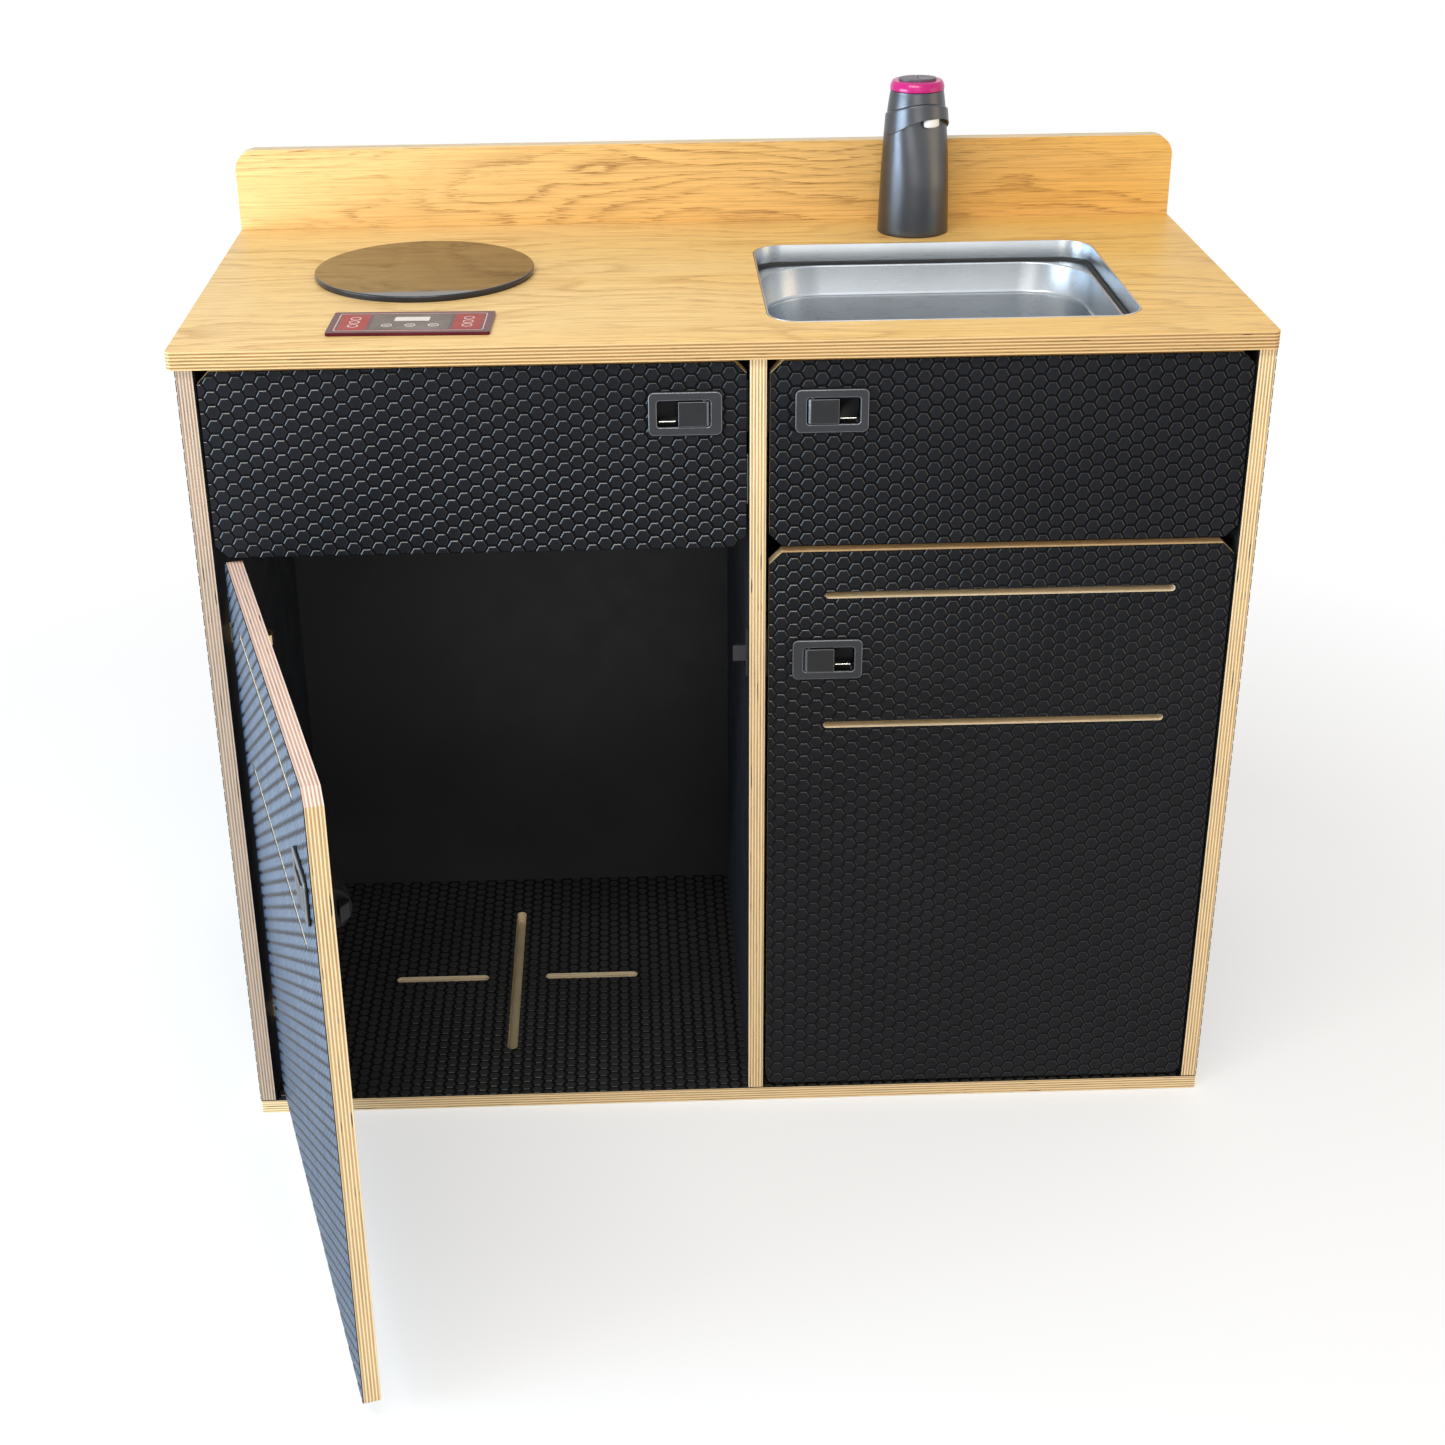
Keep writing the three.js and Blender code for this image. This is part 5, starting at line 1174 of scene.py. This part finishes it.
def build_sink():
    low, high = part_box("sink_collar")
    rim_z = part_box("sink_bowl")[1].z
    seal_low, seal_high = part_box("sink_seal")
    width, depth = high.x - low.x, high.y - low.y
    ledge_z = rim_z - BOWL_STEEL
    collar = inset_rings(width, depth, COLLAR_CORNER)
    ledge = COLLAR_WALL + COLLAR_LEDGE
    collar_rings = [
        collar(0, low.z), *bead(collar, COLLAR_WALL, COLLAR_LIP, high.z),
        collar(COLLAR_WALL, ledge_z), collar(ledge, ledge_z), collar(ledge, low.z),
    ]
    loft_piece("sink_collar_wall", collar_rings, steel, "sink_collar")

    inner_w, inner_d = width - 2 * COLLAR_WALL, depth - 2 * COLLAR_WALL
    flange_w, flange_d = inner_w - 2 * SEAT_GAP, inner_d - 2 * SEAT_GAP
    flange = inset_rings(flange_w, flange_d, COLLAR_CORNER - COLLAR_WALL - SEAT_GAP)
    bowl_w, bowl_d = inner_w - 2 * BOWL_RIM, inner_d - 2 * BOWL_RIM

    def wall(inset, drop, corner, grow=0.0):
        size = 2 * (grow - inset)
        return ring(bowl_w + size, bowl_d + size, max(corner + grow, 1 * MM), rim_z - drop)

    def floor_ring(radius, z):
        return ring(2 * radius, 2 * radius, radius, z)

    def face(grow):
        """The bowl's side from its shoulder to its floor, drawn out by the steel for the outside."""
        shoulder = BOWL_TAPER / 4
        step = shoulder + BOWL_STEP
        corner = BOWL_CORNER
        rings = [
            wall(shoulder, BOWL_SHOULDER, corner, grow),
            wall(shoulder + 0.3 * BOWL_STEP, BOWL_SHOULDER + 0.75 * BOWL_STEP, corner, grow),
            wall(step, BOWL_SHOULDER + BOWL_STEP, corner - BOWL_STEP, grow),
            wall(step + 0.4 * MM, BOWL_SHOULDER + 1.6 * BOWL_STEP, corner - BOWL_STEP, grow),
        ]
        for i in range(8):
            angle = math.radians(90 * i / 7)
            bend = BOWL_FILLET * (1 - math.cos(angle))
            drop = BOWL_DEPTH - BOWL_FILLET * (1 - math.sin(angle))
            rings.append(wall(step + BOWL_TAPER + bend, drop, corner - BOWL_TAPER - bend, grow))
        return rings

    roll = []
    for degrees in (0, 22, 45, 67, 90):
        angle = math.radians(degrees)
        drop = RIM_ROLL * (1 - math.cos(angle))
        roll.append(wall(RIM_ROLL * math.sin(angle) - RIM_ROLL, drop, BOWL_CORNER))
    floor_z = rim_z - BOWL_DEPTH - BOWL_FALL
    under_z = floor_z - BOWL_STEEL
    bowl_rings = [
        flange(0, ledge_z), flange(0, rim_z), *roll, *face(0.0),
        floor_ring(STRAINER_SEAT, floor_z), floor_ring(DRAIN, floor_z),
        floor_ring(DRAIN, under_z), floor_ring(STRAINER_SEAT, under_z),
        *reversed(face(BOWL_STEEL)), wall(-BOWL_STEEL, BOWL_STEEL, BOWL_CORNER),
    ]
    loft_piece("sink_bowl_pressed", bowl_rings, steel, "sink_bowl")
    seal_rings = [
        flange(0, seal_low.z), *bead(flange, SEAL_WIDTH, SEAL_LIP, seal_high.z),
        flange(SEAL_WIDTH, seal_low.z),
    ]
    loft_piece("sink_seal_bead", seal_rings, rubber, "sink_seal")
    worked("waste_strainer", "carcass", 0.15 * MM, (steel,), degrees=50)
    worked("waste_nut", "carcass", 0.8 * MM, (black_moulding,), degrees=40)


# Tap, in millimetres about its own axis, the spout towards +X

TAP_SPOUT = math.radians(-64)
TAP_SIDES = 180
TAP_FOOT = 1.1
HOLLOW_LEVELS, VISOR_LEVELS, CAP_LEVELS = 44, 10, 10
VISOR_EDGE, VISOR_FALL = 112.5, 22.0
VISOR_PROUD, VISOR_FADE, VISOR_SPAN = 2.2, 0.45, 0.977
RECESS_FOOT, RECESS_DEPTH, RECESS_HALF = 46.0, 8.5, 29.5
RECESS_RISE, RECESS_ROUND = 1.7, 1.3
# The body's radius over its height: at the foot, its slope and its curve
TAP_SHAPE = (34.5, 0.018, 0.000215)
SPLIT_TOP, SPLIT_ARCH, SPLIT_SLANT, SPLIT_TURN = 126.5, (25.0, 2.3), 0.25, math.radians(15)
SPLIT_RADIUS, SPLIT_PIVOT = 29.5, 30.0
# How far the body's and the cap's visible edges lie from the split line
SPLIT_BELOW, SPLIT_ABOVE = 1.5, 0.9
INNER_RADIUS, CAP_SKIRT_RADIUS, CAP_SKIRT_DROP = 20.0, 27.4, 3.0
CAP_STEP, CAP_TAPER, CAP_TAPER_FROM, CAP_TAPER_OVER = 1.3, 1.2, 108, 25
CAP_TOP_RADIUS, CAP_SHOULDER, CAP_SEAT = 25.6, 0.5, 0.2
RING_FOOT = 135.8
NOZZLE_PLACE, NOZZLE_SIDES = 26.5, 48
OVAL_SHARE = 0.56
SHELL_FOOT = ((12.0, -34.0), (12.0, 0.0), (33.3, 0.0), (34.1, 0.25))
NOZZLE_PROFILE = (
    (0, 104), (5.2, 104), (5.6, 105.6), (6.6, 104.6), (7.6, 104.8), (8.2, 106), (8.2, 112), (0, 112)
)
RING_PROFILE = (
    (0, RING_FOOT), (25.4, RING_FOOT), (25.9, 136.3), (25.9, 138.6), (25.7, 140.0), (25.1, 141.7),
    (24.3, 143.4), (23.6, 144.3), (23.0, 144.5), (0, 144.5),
)
WELL_HALF_U, WELL_HALF_V, WELL_FLOOR, WELL_TOP = 18.3, 13.8, 141.2, 150.0
BUTTON_SPLIT = (1.0, 60.0, 1.8)


def boolean(first, tool):
    """First without tool, as a new mesh; both are closed meshes."""
    things = []
    for mesh in (first, tool):
        data = bpy.data.meshes.new("solid")
        mesh.to_mesh(data)
        mesh.free()
        things.append(linked("solid", data))
    modifier = things[0].modifiers.new("cut", "BOOLEAN")
    modifier.operation = "DIFFERENCE"
    modifier.object = things[1]
    modifier.solver = "EXACT"
    made = bpy.data.meshes.new_from_object(things[0].evaluated_get(bpy.context.evaluated_depsgraph_get()))
    result = bmesh.new()
    result.from_mesh(made)
    bpy.data.meshes.remove(made)
    for thing in things:
        bpy.data.objects.remove(thing)
    bmesh.ops.remove_doubles(result, verts=result.verts, dist=1e-4)
    return result


def arch_drop(arch, t):
    half, drop = arch
    radius = (half ** 2 + drop ** 2) / (2 * drop)
    return radius - math.sqrt(radius ** 2 - t ** 2)


def tap_radius(z):
    foot, slope, curve = TAP_SHAPE
    return foot - slope * z - curve * z * z


def split_height(radius, angle):
    t, x = radius * math.sin(angle + SPLIT_TURN), radius * math.cos(angle + SPLIT_TURN)
    return SPLIT_TOP - arch_drop(SPLIT_ARCH, t) + SPLIT_SLANT * (x - SPLIT_PIVOT)


def visor_edge(angle):
    t = VISOR_SPAN * (math.sin(angle) if math.cos(angle) > 0 else 1.0)
    return VISOR_EDGE - VISOR_FALL * (1 - math.sqrt(1 - t * t))


def hollow(z, angle):
    """How far the hollow below the spout draws the body in: most below the visor, none at its foot."""
    front = math.cos(angle)
    edge = visor_edge(angle)
    if front <= 0 or z <= RECESS_FOOT:
        return 0.0
    share = (z - RECESS_FOOT) / (edge - RECESS_FOOT)
    across = 1 - (tap_radius(z) * math.sin(angle) / RECESS_HALF) ** 2
    return RECESS_DEPTH * share ** RECESS_RISE * max(across, 0.0) ** RECESS_ROUND


def polar_skin(rows):
    """A closed skin from rows of (radius, height) by angle, its ends closed on the axis."""
    angles = [math.tau * i / TAP_SIDES for i in range(TAP_SIDES)]
    verts, faces = [], []
    for row in rows:
        for angle in angles:
            radius, height = row(angle)
            verts.append((radius * math.cos(angle), radius * math.sin(angle), height))
    for level in range(len(rows) - 1):
        for i in range(TAP_SIDES):
            a, b = level * TAP_SIDES + i, level * TAP_SIDES + (i + 1) % TAP_SIDES
            faces.append((a, b, b + TAP_SIDES, a + TAP_SIDES))
    last = (len(rows) - 1) * TAP_SIDES
    for base in (0, last):
        middle = len(verts)
        heights = [v[2] for v in verts[base:base + TAP_SIDES]]
        verts.append((0.0, 0.0, sum(heights) / TAP_SIDES))
        faces += [(base + i, base + (i + 1) % TAP_SIDES, middle) for i in range(TAP_SIDES)]
    return mesh_from(verts, faces)


def shell_rows():
    flat = [*SHELL_FOOT, (tap_radius(TAP_FOOT), TAP_FOOT)]

    def lower(share):
        def row(angle):
            z = TAP_FOOT + (visor_edge(angle) - TAP_FOOT) * share
            return tap_radius(z) - hollow(z, angle), z
        return row

    def visor(share, inset=0.0, rise=0.0):
        def row(angle):
            low = visor_edge(angle)
            z = low + (split_height(SPLIT_RADIUS, angle) - SPLIT_BELOW - low) * share
            proud = VISOR_PROUD * max(0.0, math.cos(angle)) * (1 - VISOR_FADE * share)
            return tap_radius(z) + proud - inset, z + rise
        return row

    return [
        *(lambda angle, p=p: p for p in flat),
        *(lower((i + 1) / HOLLOW_LEVELS) for i in range(HOLLOW_LEVELS)),
        visor(0.0, 0.55, 0.0), visor(0.0, 0.15, 0.12), visor(0.0, 0.0, 0.5),
        *(visor((i + 1) / VISOR_LEVELS) for i in range(VISOR_LEVELS)),
        visor(1.0, 0.35, 0.75), visor(1.0, 1.35, 1.45), visor(1.0, 3.2, 1.5),
        lambda angle: (INNER_RADIUS, split_height(INNER_RADIUS, angle) - 1.0),
    ]


def cap_rows():
    def foot(radius):
        return lambda angle: (radius, split_height(SPLIT_RADIUS, angle) - CAP_SKIRT_DROP)

    def upper(share):
        def row(angle):
            low = split_height(SPLIT_RADIUS, angle) + SPLIT_ABOVE
            z = low + (RING_FOOT - CAP_SHOULDER - low) * share
            taper = CAP_TAPER * ((z - CAP_TAPER_FROM) / CAP_TAPER_OVER) ** 2
            return tap_radius(z) - CAP_STEP - taper, z
        return row

    sides = [upper(i / CAP_LEVELS) for i in range(CAP_LEVELS + 1)]
    top = lambda angle: (CAP_TOP_RADIUS, RING_FOOT - CAP_SEAT)
    return [foot(INNER_RADIUS), foot(CAP_SKIRT_RADIUS), *sides, top]


def oval(half_u, half_v):
    return [(half_u * math.cos(a), half_v * math.sin(a)) for a in np.linspace(0, math.tau, 97)[:-1]]


def tap_piece(name, mesh, centre, material, nodes, turn=TAP_SPOUT, body="carcass", bevel=0.0):
    mesh.transform(Matrix.Diagonal((MM, MM, MM, 1)))
    if bevel:
        bevelled(mesh, bevel, 38)
    matrix = Matrix.Translation(centre) @ Matrix.Rotation(turn, 4, "Z")
    finished(name, mesh, (material,), matrix, body, nodes, BOARD_SHARP)


def build_tap():
    centre = centre_of("tap_cap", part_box("worktop")[1].z)
    tap_piece("tap_shell_body", polar_skin(shell_rows()), centre, gunmetal, ("tap_body",))
    tap_piece("tap_shell_cap", polar_skin(cap_rows()), centre, gunmetal, ("tap_cap",))
    nozzle = mesh_from(*lathe_lists(NOZZLE_PROFILE, NOZZLE_SIDES))
    nozzle.transform(Matrix.Diagonal((OVAL_SHARE, 1, 1, 1)))
    nozzle.transform(Matrix.Translation((NOZZLE_PLACE, 0, 0)))
    tap_piece("tap_nozzle", nozzle, centre, nozzle_white, ())
    rim = oval(WELL_HALF_U, WELL_HALF_V)
    count = len(rim)
    faces = [(i, (i + 1) % count, count + (i + 1) % count, count + i) for i in range(count)]
    faces += [tuple(reversed(range(count))), tuple(range(count, 2 * count))]
    well = mesh_from([(u, v, z) for z in (WELL_FLOOR, WELL_TOP) for u, v in rim], faces)
    ring_mesh = boolean(mesh_from(*lathe_lists(RING_PROFILE, TAP_SIDES)), well)
    tap_piece("tap_ring_clear", ring_mesh, centre, magenta, ("tap_ring",), 0.0, bevel=0.25 * MM)
    low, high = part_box("tap_button")
    top = (high.z - centre.z) / MM
    loop = oval((high.x - low.x) / 2 / MM, (high.y - low.y) / 2 / MM)
    split = bmesh.new()
    bmesh.ops.create_cube(split, size=1.0)
    split.transform(Matrix.Translation((0, 0, top)) @ Matrix.Diagonal((*BUTTON_SPLIT, 1)))
    button = boolean(plate(loop, [], (low.z - centre.z) / MM, top, arris=0), split)
    tap_piece("tap_button_halves", button, centre, button_grey, ("tap_button",), 0.0,
              "tap_button", 0.5 * MM)


# Stage, light and camera

WHITE_SHARE = 0.50
PALE_FROM, PALE_TO = 0.8, 1.45
FLOOR_HALF = 9.0
SHADE_INSET = 30 * MM
FLOOR_DROP, SHADE_DROP = 0.3 * MM, 0.15 * MM
WORLD_LEVEL = 0.62
# Name, place, target, width, height, power and colour
LAMPS = (
    ("key", (-0.45, -1.35, 2.2), (0.0, -0.2, 0.6), 1.6, 0.26, 24, (1.0, 0.97, 0.92)),
    ("fill", (-0.1, -3.0, 1.3), (0.0, -0.2, 0.4), 1.5, 1.2, 10, (1.0, 0.96, 0.89)),
    ("side", (-2.2, -1.5, 0.55), (0.2, 0.1, 0.75), 0.7, 1.3, 26, (0.68, 0.85, 1.0)),
    ("window", (-2.4, -0.75, 0.6), (0.2, 0.1, 0.75), 1.3, 1.2, 64, (0.62, 0.81, 1.0)),
    ("warm", (1.9, -0.6, 0.9), (0.3, 0.0, 0.8), 1.0, 1.0, 5, (1.0, 0.72, 0.36)),
)
CAMERA_PLACE = (-0.0837, -1.9740, 1.2914)
CAMERA_TURNS = ((-1.454, "Z"), (63.726, "X"), (-0.690, "Z"))
CAMERA_LENS, CAMERA_SENSOR = 54.05, 36
CAMERA_SHIFT = (0.02478, -0.00265)


def stage_plane(name, corners, z, material):
    data = bpy.data.meshes.new(name)
    data.from_pydata([(x, y, z) for x, y in corners], [], [(0, 1, 2, 3)])
    data.materials.append(material)
    plane = linked(name, data)


def build_floor():
    """A pale floor with the unit's shadow, plain white further out where a camera or a mirror sees it."""
    material, look = new_material(
        "pale_floor", base_color=(0.94, 0.94, 0.94), roughness=1.0, specular_ior_level=0.0
    )
    far = look.add("VectorMath", {0: look.place()}, operation="LENGTH").outputs[1]
    share = look.times(look.pale_ray(), look.spread(far, PALE_FROM, PALE_TO, WHITE_SHARE, 1.0))
    shader, glow = look.tree.nodes["Principled BSDF"], look.add("Emission")
    mixer = look.add("MixShader", {0: share, 1: shader.outputs[0], 2: glow.outputs[0]})
    look.put(look.tree.nodes["Material Output"].inputs[0], mixer.outputs[0])
    half = FLOOR_HALF
    stage_plane("floor", [(-half, -half), (half, -half), (half, half), (-half, half)], -FLOOR_DROP, material)


def build_ground_shade():
    """The shaded ground right below the base, seen through its slots."""
    low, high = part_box("base_panel")
    x0, x1 = low.x + SHADE_INSET, high.x - SHADE_INSET
    y0, y1 = low.y + SHADE_INSET, high.y - SHADE_INSET
    stage_plane("ground_shade", [(x0, y0), (x1, y0), (x1, y1), (x0, y1)], -SHADE_DROP, ground_shade)


def build_world():
    world = bpy.data.worlds.new("studio")
    bpy.context.scene.world = world
    world.use_nodes = True
    nodes = Nodes(world.node_tree)
    background = nodes.tree.nodes["Background"]
    nodes.put(background.inputs[0], (1, 1, 1))
    nodes.put(background.inputs[1], nodes.spread(nodes.pale_ray(), 0.0, 1.0, WORLD_LEVEL, 1.0))


def build_lamps():
    for name, place, target, width, height, power, colour in LAMPS:
        data = bpy.data.lights.new(name, "AREA")
        data.shape = "RECTANGLE"
        data.size, data.size_y = width, height
        data.energy = power
        data.color = colour
        lamp = linked(name, data)
        lamp.location = place
        lamp.rotation_euler = (Vector(target) - Vector(place)).to_track_quat("-Z", "Y").to_euler()


def build_camera():
    data = bpy.data.cameras.new("camera")
    data.sensor_width = CAMERA_SENSOR
    data.lens = CAMERA_LENS
    data.shift_x, data.shift_y = CAMERA_SHIFT
    heading, tilt, roll = (Matrix.Rotation(math.radians(angle), 4, axis) for angle, axis in CAMERA_TURNS)
    camera = linked("camera", data)
    camera.matrix_world = Matrix.Translation(CAMERA_PLACE) @ heading @ tilt @ roll
    bpy.context.scene.camera = camera


build_carcass()
build_fronts()
build_worktop()
build_hinges()
build_strikers()
build_latches()
build_drawer()
build_hob()
build_control_panel()
build_sink()
build_tap()
build_floor()
build_ground_shade()
build_world()
build_lamps()
build_camera()

view = bpy.context.scene.view_settings
view.view_transform = "Standard"


def plain(box):
    return [[round(float(x), 6) for x in corner] for corner in box]
